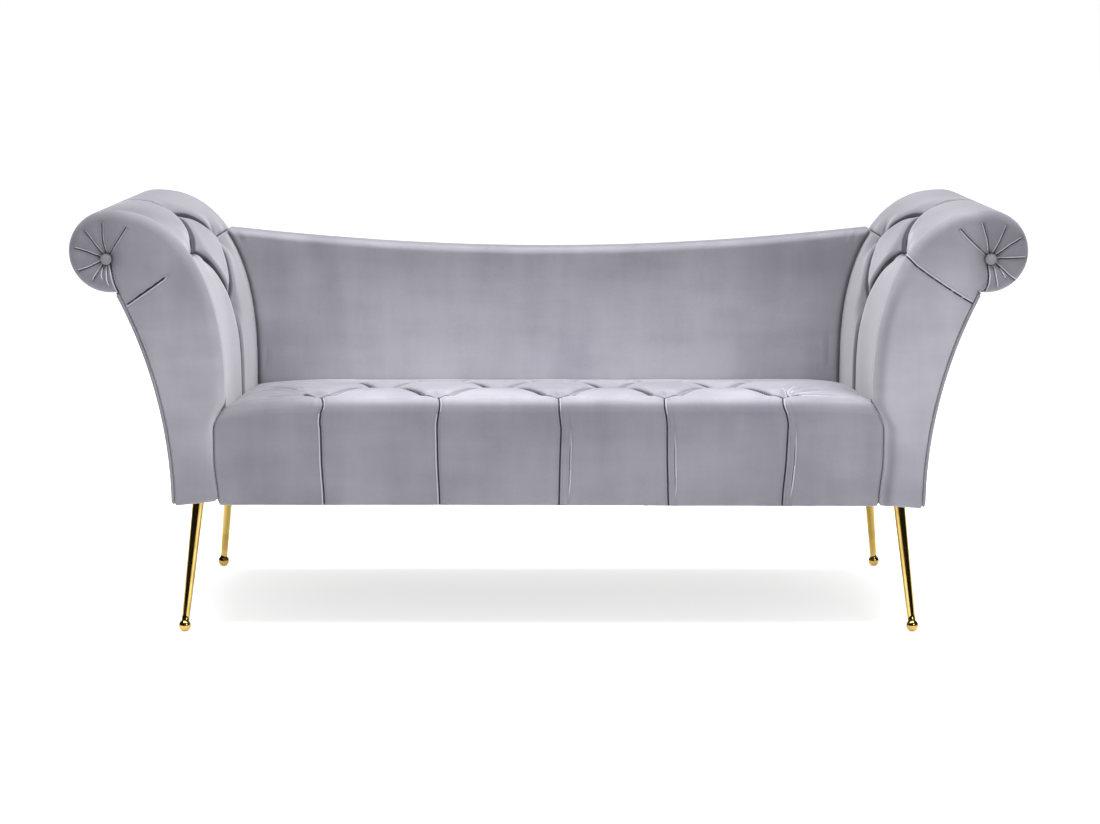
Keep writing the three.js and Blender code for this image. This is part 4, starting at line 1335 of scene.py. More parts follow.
        # Painted light and shade on the pad.
        looks["nap"] = self.pad_brushing(plan)
        fade = smooth((self.pad_edge - np.abs(plan[..., 1])) / self.edge_fade)
        room = self.pad_thickness(plan[..., 0]) - self.pad_room
        outer = self.arm_point(plan[..., 0], plan[..., 1], np.minimum(drawn * fade, room))
        coarse = lengths[:: max(1, len(lengths) // self.pad_rows_inside)]
        coarse = np.append(coarse, lengths[-1]) if coarse[-1] != lengths[-1] else coarse
        low, deep = np.meshgrid(coarse, np.linspace(self.pad_edge, -self.pad_edge, 3), indexing="ij")
        inner = self.arm_point(low, deep, self.pad_thickness(coarse)[:, None].repeat(3, 1))
        return closed_sheet(f"{self.side.word}_arm_cushion", self.mirrored(outer), self.mirrored(inner), looks)

    def pad_brushing(self, plan: Array) -> Array:
        """Painted light and shade on the pad, from darker to lighter.

        Args:
            plan: Places on the pad, as length along the route and place along the depth.

        Returns:
            The painted light level, from -1 to 1.
        """
        along, depth = plan[..., 0], plan[..., 1]
        over = ramp(along, self.tufts["front"][0], 0.12)
        front = ramp(-depth, 0.10, 0.12)
        if self.side is Side.LEFT:
            return -0.05 - 0.40 * over * front - 0.10 * (1 - front) + 0.22 * bell(along, 0.20, 0.07)
        return -0.31 + 0.13 * over - 0.04 * (1 - front)

    def face_marks(self) -> Tufting:
        """The pleats, seam and crease of a face, on its X and Z plan, as this side's are sewn.

        Returns:
            The folds.
        """
        x, z = self.button
        if self.side is Side.RIGHT:
            ends = [(0.725, 0.733), (0.7655, 0.7445), (0.809, 0.7385), (0.838, 0.716), (0.846, 0.680), (0.836, 0.633)]
            seam = [(0.777, 0.668), (0.7785, 0.650), (0.7775, 0.636), (0.7738, 0.621), self.seam_foot]
            crease = [
                (0.6305, 0.685), (0.650, 0.6655), (0.674, 0.648), (0.704, 0.628), (0.733, 0.6095), (0.7525, 0.598),
            ]
            short = [((0.787, 0.663), (0.791, 0.640), (0.796, 0.622)), ((0.793, 0.668), (0.803, 0.650), (0.812, 0.640))]
        else:
            ends = [(0.744, 0.736), (0.7875, 0.745), (0.8205, 0.730), (0.840, 0.698), (0.834, 0.656), (0.807, 0.638)]
            seam = [(0.7765, 0.670), (0.7725, 0.654), (0.7675, 0.633), self.seam_foot]
            crease = [(0.7475, 0.5965), (0.708, 0.6235), (0.6695, 0.651)]
            short = [((0.781, 0.662), (0.779, 0.640), (0.774, 0.624)), ((0.788, 0.662), (0.789, 0.648), (0.786, 0.636))]
        folds = []
        for end in ends:
            heading = math.atan2(end[1] - z, end[0] - x)
            across, up = math.cos(heading), math.sin(heading)
            start = (x + self.button_radius * across, z + self.button_radius * up)
            bow = self.fan_bow * math.sin(3 * heading)
            middle = (mix(start[0], end[0], 0.5) - bow * up, mix(start[1], end[1], 0.5) + bow * across)
            folds.append(Fold((start, middle, end), self.fan_pleat))
        folds.append(Fold(tuple(seam), self.seam))
        folds += [Fold(path, self.short_pleat) for path in short]
        if self.side is Side.RIGHT:
            folds.append(Fold(tuple(crease), self.right_crease))
        else:
            folds.append(Fold(tuple(crease), self.left_crease))
            beside = tuple((px + self.crease_shift[0], pz + self.crease_shift[1]) for px, pz in crease)
            folds.append(Fold(beside, self.beside_crease))
        return Tufting(folds)

    def station(self, start: Array, end: Array, rounding: float, tail: float) -> tuple[Array, Array, Array]:
        """Places from a face's inner edge to its far side, closer together where the face rounds over.

        Args:
            start: The place on the inner edge.
            end: The place on the far side.
            rounding: Radius of the inner edge.
            tail: Length before the far side that has points of its own.

        Returns:
            The places, and each one's distance from the start and from the end.
        """
        span = float(np.hypot(*(end - start)))
        over = rounding * (1 - np.cos(np.linspace(0, math.pi / 2, 10)))
        middle = np.linspace(rounding, span - tail, self.face_columns - 14)[1:]
        reach = np.concatenate([over, middle, span - tail * (1 - np.sin(np.linspace(0, math.pi / 2, 6)))[1:]])
        return start + (reach / span)[:, None] * (end - start), reach, span - reach

    def inner_edge(self, length: float) -> Array:
        """The inner edge of a face at a length along the route.

        Args:
            length: A length along the route.

        Returns:
            The place, in X and Z.
        """
        place = self.section.route.at(length)[0]
        height = float(place[1]) if length else self.section.underside
        if height < self.section.flare_start:
            return np.array([float(self.section.inner_edge_x(height)), height])
        return place

    def rounding(self, length: float) -> float:
        """Radius of a face's inner edge at a length along the route."""
        share = float(self.section.step_share(self.section.timber_bottom + length))
        return float(mix(self.face_rounding, self.sharp_rounding, share))

    @property
    def button_seat(self) -> float:
        """Radius of the flat in which a face's button sits."""
        return self.button_radius + 1 * MM

    def stations(self) -> list[tuple[Array, Array, Array]]:
        """Lines across a face: up its body, over its neck, round the fan and back down to the seam.

        Returns:
            Each line's places, and each place's distance from the line's start and from its end.
        """
        section, seat = self.section, self.button_seat
        body, neck, fan = self.lengths
        centre, foot = np.array(self.button), np.array(self.seam_foot)
        seam = self.station(foot, centre, self.sharp_rounding, seat)
        lines = []
        for length in body:
            height = mix(section.underside, foot[1], length / body[-1])
            far = np.array([float(section.outer_x(height, self.welt + HAIR)), height])
            lines.append(self.station(self.inner_edge(length), far, self.rounding(length), self.sharp_rounding))
        for length, place in zip(neck, seam[0][1:]):
            lines.append(self.station(self.inner_edge(length), place, self.face_rounding, self.sharp_rounding))
        for length in fan:
            lines.append(self.station(self.inner_edge(length), centre, self.face_rounding, seat))
        roll = np.array([section.roll_x, section.roll_z])
        shares = np.linspace(0, 1, 5)[1:-1]
        turn = np.linspace(section.notch_angle, math.atan2(*(foot - roll)[::-1]), 5)[1:-1]
        for share, angle in zip(shares, turn):
            rim = roll + section.roll_radius * np.array([math.cos(angle), math.sin(angle)])
            radius = float(mix(self.face_rounding, self.sharp_rounding, share))
            lines.append(self.station(rim, centre, radius, seat))
        return [*lines, seam]

    def face(self, end: End) -> bpy.types.Object:
        """Makes a padded face, pleated round its button.

        Args:
            end: The end of the arm.

        Returns:
            The face's object.
        """
        body = len(self.lengths[0])
        plan, near, rest = (np.stack(part) for part in zip(*self.stations()))
        plan[:body] += self.hem_lift(plan[:body])
        marks = self.face_marks()
        inside = plan[1:-1, 1:-1]
        inside[:] = marks.snapped(inside, self.mark_snap)
        radii = [self.rounding(length) for length in self.lengths[0]] + [self.face_rounding] * (len(plan) - body)
        radii[-4:] = np.linspace(self.face_rounding, self.sharp_rounding, 4)
        drop = edge_drop(near, np.array(radii)[:, None])
        above = plan[..., 1] - np.interp(plan[..., 0], plan[0, :, 0], plan[0, :, 1])
        rest[body:] = 1.0
        for distance in (rest, above):
            drop = np.maximum(drop, edge_drop(distance, self.sharp_rounding))
        to_button = np.hypot(*(plan - np.array(self.button)).transpose(2, 0, 1))
        dimple = np.clip((to_button - self.button_seat) / self.dimple_reach, 0, 1)
        drop = np.maximum(drop, self.dimple_depth * (1 - np.sin(dimple * math.pi / 2)))
        drawn, looks = marks.drawn(plan)
        drop = drop + drawn * smooth(near / self.mark_fade)
        rim_dark = self.rim_shade * bell(to_button, self.button_radius, self.rim_width)
        looks["shade"] = np.maximum(looks["shade"], rim_dark)
        # Painted light and shade on the face.
        looks["nap"] = self.face_brushing(plan, near)
        front = np.stack([plan[..., 0], drop - self.half_depth, plan[..., 1]], -1)

        shell = Shell()
        numbers = shell.add(self.mirrored(front, end), looks)
        shell.grid(numbers)
        rim, rim_points = (
            np.concatenate([grid[:, 0], grid[:body, -1][::-1], grid[0, 1:-1][::-1]]) for grid in (numbers, front)
        )
        rim_points[:, 1] = -self.pad_edge
        behind = shell.add(self.mirrored(rim_points, end))
        shell.strip(np.append(rim, rim[0]), np.append(behind, behind[0]))
        shell.flat.append(tuple(int(number) for number in behind))
        return shell.object(f"{self.side.word}_arm_{end.word}_scroll")

    def hem_lift(self, plan: Array) -> Array:
        """How far the lower part of a face is drawn up, so that its hem rises inwards and has round corners.

        Args:
            plan: Places on the face's body, in X and Z.

        Returns:
            The move of each place.
        """
        inner, outer = plan[:, :1, 0], plan[:, -1:, 0]
        share = (plan[..., 0] - inner) / (outer - inner)
        rounding = self.hem_round if self.side is Side.LEFT else self.hem_corner
        corners = edge_drop(plan[..., 0] - inner, rounding) + edge_drop(outer - plan[..., 0], self.hem_corner)
        lift = mix(*self.hem_lifts, share) + corners
        low = 1 - smooth((plan[..., 1] - self.section.underside) / self.hem_reach)
        return np.stack([np.zeros_like(lift), lift * low], -1)

    def face_brushing(self, plan: Array, near: Array) -> Array:
        """Painted light and shade on a face, from darker to lighter.

        Args:
            plan: Places on the face, in X and Z.
            near: Each one's distance from the inner edge.

        Returns:
            The painted light level, from -1 to 1.
        """
        height = plan[..., 1]
        belly = bell(height, 0.46, 0.16)
        scroll = ramp(plan[..., 0], 0.735, 0.05) * ramp(height, 0.60, 0.03)
        if self.side is Side.LEFT:
            lowest = bell(height, 0.38, 0.07) * bell(near, 0, 0.012)
            low = 1 - ramp(height, 0.27, 0.10)
            crest = bell(near, 0, 0.014) * ramp(height, 0.68, 0.04)
            return 0.02 + 0.25 * belly - 0.22 * scroll + 0.30 * lowest - 0.08 * low - 0.16 * crest
        # A band of painted shade near the right face's inner edge.
        band = bell(near, 0.013, 0.010) * ramp(height, 0.66, -0.08)
        return 0.20 + 0.32 * belly - 0.29 * scroll - 0.46 * band - 0.22 * ramp(height, 0.60, 0.12)

    def outer_panel(self) -> bpy.types.Object:
        """Makes the plain panel that is stretched over the arm's hollow outer side.

        Returns:
            The panel's object.
        """
        section = self.section
        end = self.half_depth - self.welt - HAIR
        heights = spaced(section.underside, section.outer_top(0, section.soft_gap), self.panel_spacing)
        height, depth = np.meshgrid(heights, spaced(end, -end, self.panel_spacing), indexing="ij")
        share = (height - section.underside) / (heights[-1] - section.underside)
        inset = self.panel_slack * np.sin(share * math.pi) * np.cos(depth / end * math.pi / 2)
        inset += edge_drop(end - np.abs(depth), 0.0022) + edge_drop(height - section.underside, 0.003)
        drawn_up = self.hem_lifts[1] + 0.0015 + edge_drop(end - np.abs(depth), 0.003)
        drawn_up = drawn_up * (1 - smooth(share / 0.15))
        outer = np.stack([section.outer_x(height, 0) - inset, depth, height + drawn_up], -1)
        turned, clear = self.pad_edge + 1.6 * MM, self.pad_edge + 0.4 * MM
        insets = np.array([self.welt, self.welt, self.cover, self.cover, self.welt, self.welt])
        picked = heights[np.linspace(0, len(heights) - 1, 14).astype(int)]
        low, deep = np.meshgrid(picked, [end, turned, clear, -clear, -turned, -end], indexing="ij")
        inner = np.stack([section.outer_x(low, 0) - insets, deep, low], -1)
        return closed_sheet(f"{self.side.word}_arm_outer_panel", self.mirrored(outer), self.mirrored(inner))

    def button_piece(self, end: End) -> bpy.types.Object:
        """Makes a covered button, gathered a little round its edge.

        Args:
            end: The end of the arm.

        Returns:
            The button's object.
        """
        height, turn = self.button_height, np.linspace(0, math.pi / 2, 12)
        out = np.concatenate([[0.0, 0.7], 0.86 + 0.14 * np.sin(turn[::3]), np.cos(turn[1:]) ** 0.8])
        up = np.concatenate([[0.0, 0.0], 0.25 * (1 - np.cos(turn[::3])), 0.25 + 0.75 * np.sin(turn[1:]) ** 0.9])
        around = np.linspace(0, 2 * math.pi, 6 * self.button_gathers + 1)
        spread, angle = np.meshgrid(out * self.button_radius, around, indexing="ij")
        rise = np.repeat((up * height)[:, None], len(around), 1)
        edge = np.exp(-(((rise / height) - 0.3) ** 2) / 0.03)
        spread = spread * (1 - 0.02 * edge * (0.5 + 0.5 * np.cos(self.button_gathers * angle)))
        x, z = self.button
        seat = self.dimple_depth - HAIR - self.half_depth
        points = np.stack([x + spread * np.cos(angle), seat - rise, z + spread * np.sin(angle)], -1)
        points[:, -1] = points[:, 0]
        shade = 0.6 * bell(rise, 0, 0.25 * height)
        name = f"{self.side.word}_arm_{end.word}_tuft_button"
        return one_grid(name, self.mirrored(points, end), {"shade": shade})

    def welt_path(self, end: End) -> Array:
        """The centreline of the welt along the outer edge of a face.

        Args:
            end: The end of the arm.

        Returns:
            Points from the bottom to the top, a row each.
        """
        section, radius = self.section, self.welt / 2
        turn = section.underside + self.hem_lifts[1] + self.welt_foot
        top = section.outer_top(radius, radius + section.soft_gap)
        angles = np.radians([62, 50, 38, 26, 13])
        straight = spaced(turn, top, self.welt_spacing)
        heights = np.concatenate([turn - self.welt_bend * np.sin(angles), straight])
        inwards = np.concatenate([self.welt_bend * (1 - np.cos(angles)), np.zeros(len(straight))])
        depth = np.full(len(heights), radius - self.half_depth)
        return self.mirrored(np.stack([section.outer_x(heights, radius) - inwards, depth, heights], -1), end)

    def build(self, bench: Bench, trimmings: "Trimmings") -> None:
        """Makes and finishes all the arm's pieces.

        Args:
            bench: Where pieces are finished.
            trimmings: What sweeps the welts.
        """
        word = self.side.word
        bench.place(self.skin(), Slot.VELVET, [f"{word}_arm_pad"], fill=0.8)
        bench.place(self.outer_panel(), Slot.VELVET, [f"{word}_arm_outer_cover"])
        for end in End:
            bench.place(self.face(end), Slot.VELVET, [f"{word}_arm_{end.word}_facing"], fill=0.9)
            bench.place(self.button_piece(end), Slot.VELVET, [f"{word}_arm_{end.word}_button"])
            welt = trimmings.welt(f"{word}_arm_{end.word}_welt", self.welt_path(end), self.welt / 2 - self.welt_slack)
            bench.place(welt, Slot.VELVET, [f"{word}_arm_{end.word}_piping"])


@dataclass
class Seat:
    """The seat's tufted cushion, which runs down over the front as a pleated panel."""

    section: ArmSection = field(default_factory=ArmSection)
    front: float = -0.288
    rear: float = 0.2136
    crown_height: float = 0.434
    crown_setback: float = 0.140
    front_fall: float = 0.005
    rear_fall: float = 0.044
    rear_fall_power: float = 1.35
    side_fall_shares: Point = (0.42, 0.60)
    side_fall_widths: Point = (0.100, 0.165)
    corner_falls: Point = (-0.018, -0.013)
    corner_depth: float = 0.120
    edge_radius: float = 0.028
    panel_thickness: float = 0.020
    unit_half: float = 0.592
    tuft_setback: float = 0.043
    tuft_pitch: float = 0.120
    spacing: float = 0.0030
    tuft_shares: tuple[tuple[float, ...], ...] = (
        (-0.717, -0.348, 0.029, 0.365, 0.734),
        (-0.528, -0.16, 0.199, 0.553),
        (-0.7, -0.35, 0.02, 0.36, 0.72),
        (-0.53, -0.165, 0.19, 0.545),
    )
    hem_drops: Point = (0.0035, 0.0055)
    panel_pleats: tuple[tuple[float, ...], ...] = (
        (-0.4055, -0.4072, -0.4066, -0.4030),
        (-0.1955, -0.1992, -0.1984, -0.1955),
        (0.0190, 0.0225, 0.0205, 0.0186),
        (0.2085, 0.2120, 0.2126, 0.2163),
        (0.4225, 0.4278, 0.4255, 0.4193),
    )
    pleat_drops: tuple[float, ...] = (0.0, 0.030, 0.090, 0.175)
    end_wrinkles: tuple[tuple[Point, ...], ...] = (
        ((0.431, 0.046), (0.428, 0.090), (0.416, 0.150)),
        ((0.431, 0.046), (0.441, 0.090), (0.458, 0.160)),
        ((0.432, 0.045), (0.452, 0.080), (0.492, 0.128)),
        ((0.433, 0.044), (0.462, 0.062), (0.520, 0.088)),
        ((-0.440, 0.060), (-0.480, 0.110), (-0.535, 0.150)),
        ((-0.445, 0.100), (-0.490, 0.150), (-0.540, 0.210)),
    )
    panel_gleams: tuple[float, ...] = (-0.9, -0.9, 0.3, 0.3, 0.3)
    second_offsets: tuple[float, ...] = (0.0, 0.0, 0.0165, 0.0125, 0.0135)
    neighbour_share: float = 0.3
    neck: float = 0.022
    bend_shares: tuple[Point, ...] = ((0.15, 0.26), (0.38, 0.55))
    left_pleat: Crease = Crease(
        0.015, 0.027, thin=-0.0008, gloom=0.97, gloom_side=-1, gloom_to=0.0035, far_share=0.65
    )
    right_pleat: Crease = Crease(
        0.015, 0.027, thin=-0.0008, gloom=0.5, gloom_side=1, gloom_to=0.0035, far_share=0.65
    )
    neck_pleat: Crease = Crease(0.015, 0.027, thin=-0.0008, gloom=0.9, gloom_side=1, gloom_to=0.008, far_share=0.6)
    rear_pleat: Crease = Crease(0.015, 0.027)
    edge_fold: Crease = Crease(0.0045, 0.030, 0.0024)
    panel_pleat: Crease = Crease(0.0032, 0.024, 0.003, lip=0.0009)
    second_fold: Crease = Crease(
        slit=0.0008, slit_width=0.0016, lip=0.0014, thin=0.0008, fade_in=0.07, fade_out=0.05
    )
    corner_fold: Crease = Crease(0.004, 0.04, 0.0014, 0.003, 0.001, 0.0003, fade_out=0.06)
    corner_reach: Point = (0.115, -0.012)
    end_wrinkle: Crease = Crease(
        slit=0.0030, slit_width=0.0050, lip=0.0028, thin=0.0010, fade_in=0.008, fade_out=0.05
    )
    front_pinch: tuple[float, ...] = (0.0095, 0.019, 4.0)
    rear_pinch: tuple[float, ...] = (0.015, 0.038)
    front_gathers: tuple[float, ...] = (-118, -100, -80, -60)
    front_gather_length: float = 0.040
    front_gather_depth: float = 0.0014
    gather_length: float = 0.032
    slack: float = 0.0010
    side_rounding: float = 0.004
    hem_rounding: float = 0.0035
    hem_corner: float = 0.006
    hem_reach: float = 0.05
    panel_fade: float = 0.004
    panel_gap: float = 0.08 * MM
    side_shade: float = 0.85
    side_shade_width: float = 0.0022
    inner_step: int = 6

    @property
    def half(self) -> float:
        """Half the cushion's width."""
        return self.section.pad_face - self.section.soft_gap

    @property
    def length(self) -> float:
        """The cushion's depth, from front to rear."""
        return self.rear - self.front

    @cached_property
    def tufts(self) -> list[list[Point]]:
        """The rows of tufts, each as distance from the middle and from the front."""
        return [
            [(share * self.half, self.tuft_setback + row * self.tuft_pitch) for share in shares]
            for row, shares in enumerate(self.tuft_shares)
        ]

    def panel_half(self, height: Array | float) -> Array:
        """Half the width of the panel down the front, at a height."""
        return self.section.inner_edge_x(height) - self.panel_gap

    def top(self, across: Array, setback: Array) -> Array:
        """Height of the cushion's skin before tufting.

        Args:
            across: Distance from the middle.
            setback: Distance from the front.

        Returns:
            The height over the floor.
        """
        ahead = setback < self.crown_setback
        run = np.where(ahead, self.crown_setback, self.length - self.crown_setback)
        share = np.abs(setback - self.crown_setback) / run
        fall = np.where(ahead, self.front_fall * share**2, self.rear_fall * share**self.rear_fall_power)
        on_right = across > 0
        width = np.where(on_right, *self.side_fall_widths)
        side = np.clip((np.abs(across) - self.half + width) / width, 0, 1)
        drawn = 1 - np.sqrt(1 - side**2)
        height = self.crown_height - fall - self.section.foam_top
        corner = np.where(on_right, *self.corner_falls) * (1 - smooth(setback / self.corner_depth))
        left = 1 - np.where(on_right, *self.side_fall_shares) * drawn
        return self.section.foam_top + height * left - corner * drawn

    def diagonals(self) -> list[Fold]:
        """The folds from one row of tufts to the next. Those of the first row start beside their tufts and bend.

        Returns:
            The folds.
        """
        folds = []
        for ahead, behind in zip(self.tufts, self.tufts[1:]):
            for tuft in behind:
                for start in ahead:
                    across, shares = tuft[0] - start[0], ()
                    if abs(across) >= self.neighbour_share * self.half:
                        continue
                    if ahead is self.tufts[0]:
                        shares = self.bend_shares
                        start = (start[0] + math.copysign(self.neck, across), start[1])
                    bends = [(mix(start[0], tuft[0], out), mix(start[1], tuft[1], back)) for out, back in shares]
                    crease = self.left_pleat if across < 0 else self.right_pleat
                    folds.append(Fold((start, *bends, tuft), crease))
        return folds

    def panel_folds(self) -> list[Fold]:
        """The pleats from the first tufts over the edge and down the panel, some with a second fold beside them.

        Returns:
            The folds.
        """
        drops = np.array(self.pleat_drops)
        narrowed = self.half / self.panel_half(self.crown_height - self.edge_radius - drops)
        rows = zip(self.tufts[0], self.panel_pleats, self.panel_gleams, self.second_offsets)
        folds = []
        for tuft, places, gleam, offset in rows:
            down = tuple((float(px), float(-drop)) for px, drop in zip(np.array(places) * narrowed, drops))
            folds.append(Fold((tuft, down[0]), self.edge_fold))
            folds.append(Fold(down, replace(self.panel_pleat, gleam=gleam)))
            if offset:
                folds.append(Fold(tuple((px + offset, py) for px, py in down), self.second_fold))
        return folds

    def tufting(self) -> Tufting:
        """The cushion's folds, on a plan of distance from the middle and from the front.

        The panel down the front lies at negative distances.

        Returns:
            The folds and pinches.
        """
        front, *others = self.tufts
        sides, rear = (others[1][0], others[1][-1]), others[-1]
        folds = self.diagonals()
        folds += [Fold(((x - self.neck, y), (x + self.neck, y)), self.neck_pleat) for x, y in front]
        folds += self.panel_folds()
        folds += [Fold(((x, y), (x, self.length)), self.rear_pleat) for x, y in rear]
        folds += [Fold(((x, y), (math.copysign(self.half, x), y)), self.rear_pleat) for x, y in sides]
        for x, y in (front[0], front[-1]):
            corner = (x + math.copysign(self.corner_reach[0], x), y + self.corner_reach[1])
            folds.append(Fold(((x, y), corner), self.corner_fold))
        pinches = [Pinch(tuft, *self.front_pinch) for tuft in front]
        pinches += [Pinch(tuft, *self.rear_pinch) for row in others for tuft in row]
        for pinch in pinches[: len(front)]:
            folds += gathers(pinch, self.front_gathers, self.front_gather_length, self.front_gather_depth)
        for number, pinch in enumerate(pinches):
            angles = (8 + 11 * (number % 3), 96, 172 - 9 * (number % 4))
            folds += gathers(pinch, angles, self.gather_length)
        folds += [Fold(path, self.end_wrinkle) for path in self.end_wrinkles]
        return Tufting(folds, pinches)

    def rows(self) -> tuple[Array, Array, Array]:
        """The rows of the cushion's grid, from the hem up the panel, over its edge and to the rear.

        Returns:
            For each row, the angle round the front edge, the share of the panel's height, and the setback.
        """
        panel = self.crown_height - self.edge_radius - self.section.underside
        rise = spaced(0, 1, self.spacing / panel)
        angle = spaced(0, math.pi / 2, self.spacing / self.edge_radius)[1:]
        flat = spaced(self.edge_radius, self.length, self.spacing)[1:]
        angles = np.concatenate([np.zeros(len(rise)), angle, np.full(len(flat), math.pi / 2)])
        rises = np.concatenate([rise, np.ones(len(angle) + len(flat))])
        setbacks = np.concatenate([np.zeros(len(rise)), self.edge_radius * (1 - np.cos(angle)), flat])
        return angles, rises, setbacks

    def cushion(self) -> bpy.types.Object:
        """Makes the cushion.

        Returns:
            The cushion's object.
        """
        section, radius = self.section, self.edge_radius
        angles, rises, setbacks = self.rows()
        angle, x = np.meshgrid(angles, spaced(-self.half, self.half, self.spacing), indexing="ij")
        rise, setback = (np.repeat(values[:, None], x.shape[1], 1) for values in (rises, setbacks))
        panel = self.top(x, np.full_like(x, radius)) - radius - section.underside
        plan = np.stack([x, setback - (1 - rise) * panel], -1)
        tufting = self.tufting()
        inside = plan[1:-1, 1:-1]
        shift = tufting.snapped(inside, 0.5 * self.spacing) - inside
        on_panel, on_top = rise[1:-1, 1:-1] < 1, angle[1:-1, 1:-1] >= math.pi / 2
        along = np.where(on_panel | on_top, shift[..., 1], 0)
        inside += np.stack([shift[..., 0], along], -1)
        rise[1:-1, 1:-1] += np.where(on_panel, along / panel[1:-1, 1:-1], 0)
        setback[1:-1, 1:-1] += np.where(on_top, along, 0)
        x = plan[..., 0]
        to_side = self.half - np.abs(x)
        springing = self.top(x, np.maximum(setback, radius)) - radius
        z = mix(section.underside, springing, rise) + radius * np.sin(angle)
        drawn, looks = tufting.drawn(plan)
        drawn = drawn + self.slack * np.sin(plan[..., 1] * 23 + x * 9) * np.sin(x * 31 + 1.3) * (angle < 1)
        side_drop = edge_drop(to_side, self.side_rounding) * np.cos(angle)
        drawn = drawn + (side_drop + edge_drop(z - section.underside, self.hem_rounding))
        hem_drop = mix(*self.hem_drops, ramp(x, -0.2, 0.7))
        z = z + (edge_drop(to_side, self.hem_corner) - hem_drop) * (1 - ramp(z, section.underside, self.hem_reach))
        y = self.front + setback + drawn * np.cos(angle)
        ahead = np.clip((self.front + self.panel_thickness - y) / self.panel_fade, 0, 1)
        half = mix(self.half, self.panel_half(z), ahead)
        side_dark = self.side_shade * bell(to_side, 0, self.side_shade_width) * (angle < 1.4)
        looks["shade"] = np.maximum(looks["shade"], side_dark)
        # Painted light and shade on the cushion.
        looks["nap"] = self.painted_light_and_shade(x, setback, rise, angle)
        outer = np.stack([x / self.half * half, y, z - drawn * np.sin(angle)], -1)
        return closed_sheet("seat_cushion", outer, self.inner_side(angles, rises, setbacks), looks)

    def inner_side(self, angles: Array, rises: Array, setbacks: Array) -> Array:
        """The cushion's side towards the foam, on some of its rows.

        Args:
            angles: Each row's angle round the front edge.
            rises: Its share of the panel's height.
            setbacks: Its distance from the front.

        Returns:
            A grid of points.
        """
        pick = np.unique(np.concatenate([np.arange(0, len(angles), self.inner_step), [len(angles) - 1]]))
        rounds, back = angles[pick] / (math.pi / 2), setbacks[pick]
        halves = np.where(rounds > 0, self.half, self.unit_half)
        y = self.front + np.where(back > self.edge_radius, back, self.panel_thickness)
        shoulder = self.section.foam_top - self.panel_thickness
        z = mix(mix(self.section.underside, shoulder, rises[pick]), self.section.foam_top + HAIR, rounds)
        return np.stack([np.stack([way * halves, y, z], -1) for way in (-1, 1)], 1)

    def painted_light_and_shade(self, across: Array, setback: Array, rise: Array, angle: Array) -> Array:
        """Painted light and shade on the cushion, from darker to lighter, by the place.

        Args:
            across: Distance from the middle.
            setback: Distance from the front.
            rise: Share of the panel's height.
            angle: Angle round the front edge.

        Returns:
            The painted light level, from -1 to 1.
        """
        shadow = -0.06 * ramp(rise, 0.55, 0.45) * (angle <= 0.0)
        # Painted highlight: a light band along the front edge, weaker to the rear and towards the ends.
        band = 0.555 * ramp(angle, 0.38, 0.55) * (1 - 0.10 * ramp(angle, 1.1, 0.4))
        band *= 1 - 0.62 * ramp(setback, 0.045, 0.06)
        band *= ramp(across, -0.50, 0.18) * (1 - 0.45 * ramp(across, 0.40, 0.12))
        left = -0.22 * ramp(-across, 0.38, 0.14) * ramp(setback, -0.02, 0.05)
        right = 0.03 * ramp(across, 0.38, 0.1) * (angle < 0.5)
        low_corner = -0.12 * bell(across, -0.40, 0.03) * bell(rise, 0, 0.12)
        middle = -0.05 * bell(across, 0, 0.25) * (angle < 0.5)
        return shadow + band + left + right + low_corner + middle

    def build(self, bench: Bench) -> None:
        """Makes and finishes the cushion.

        Args:
            bench: Where pieces are finished.
        """
        bench.place(self.cushion(), Slot.VELVET, ["seat_pad"], fill=0.85)


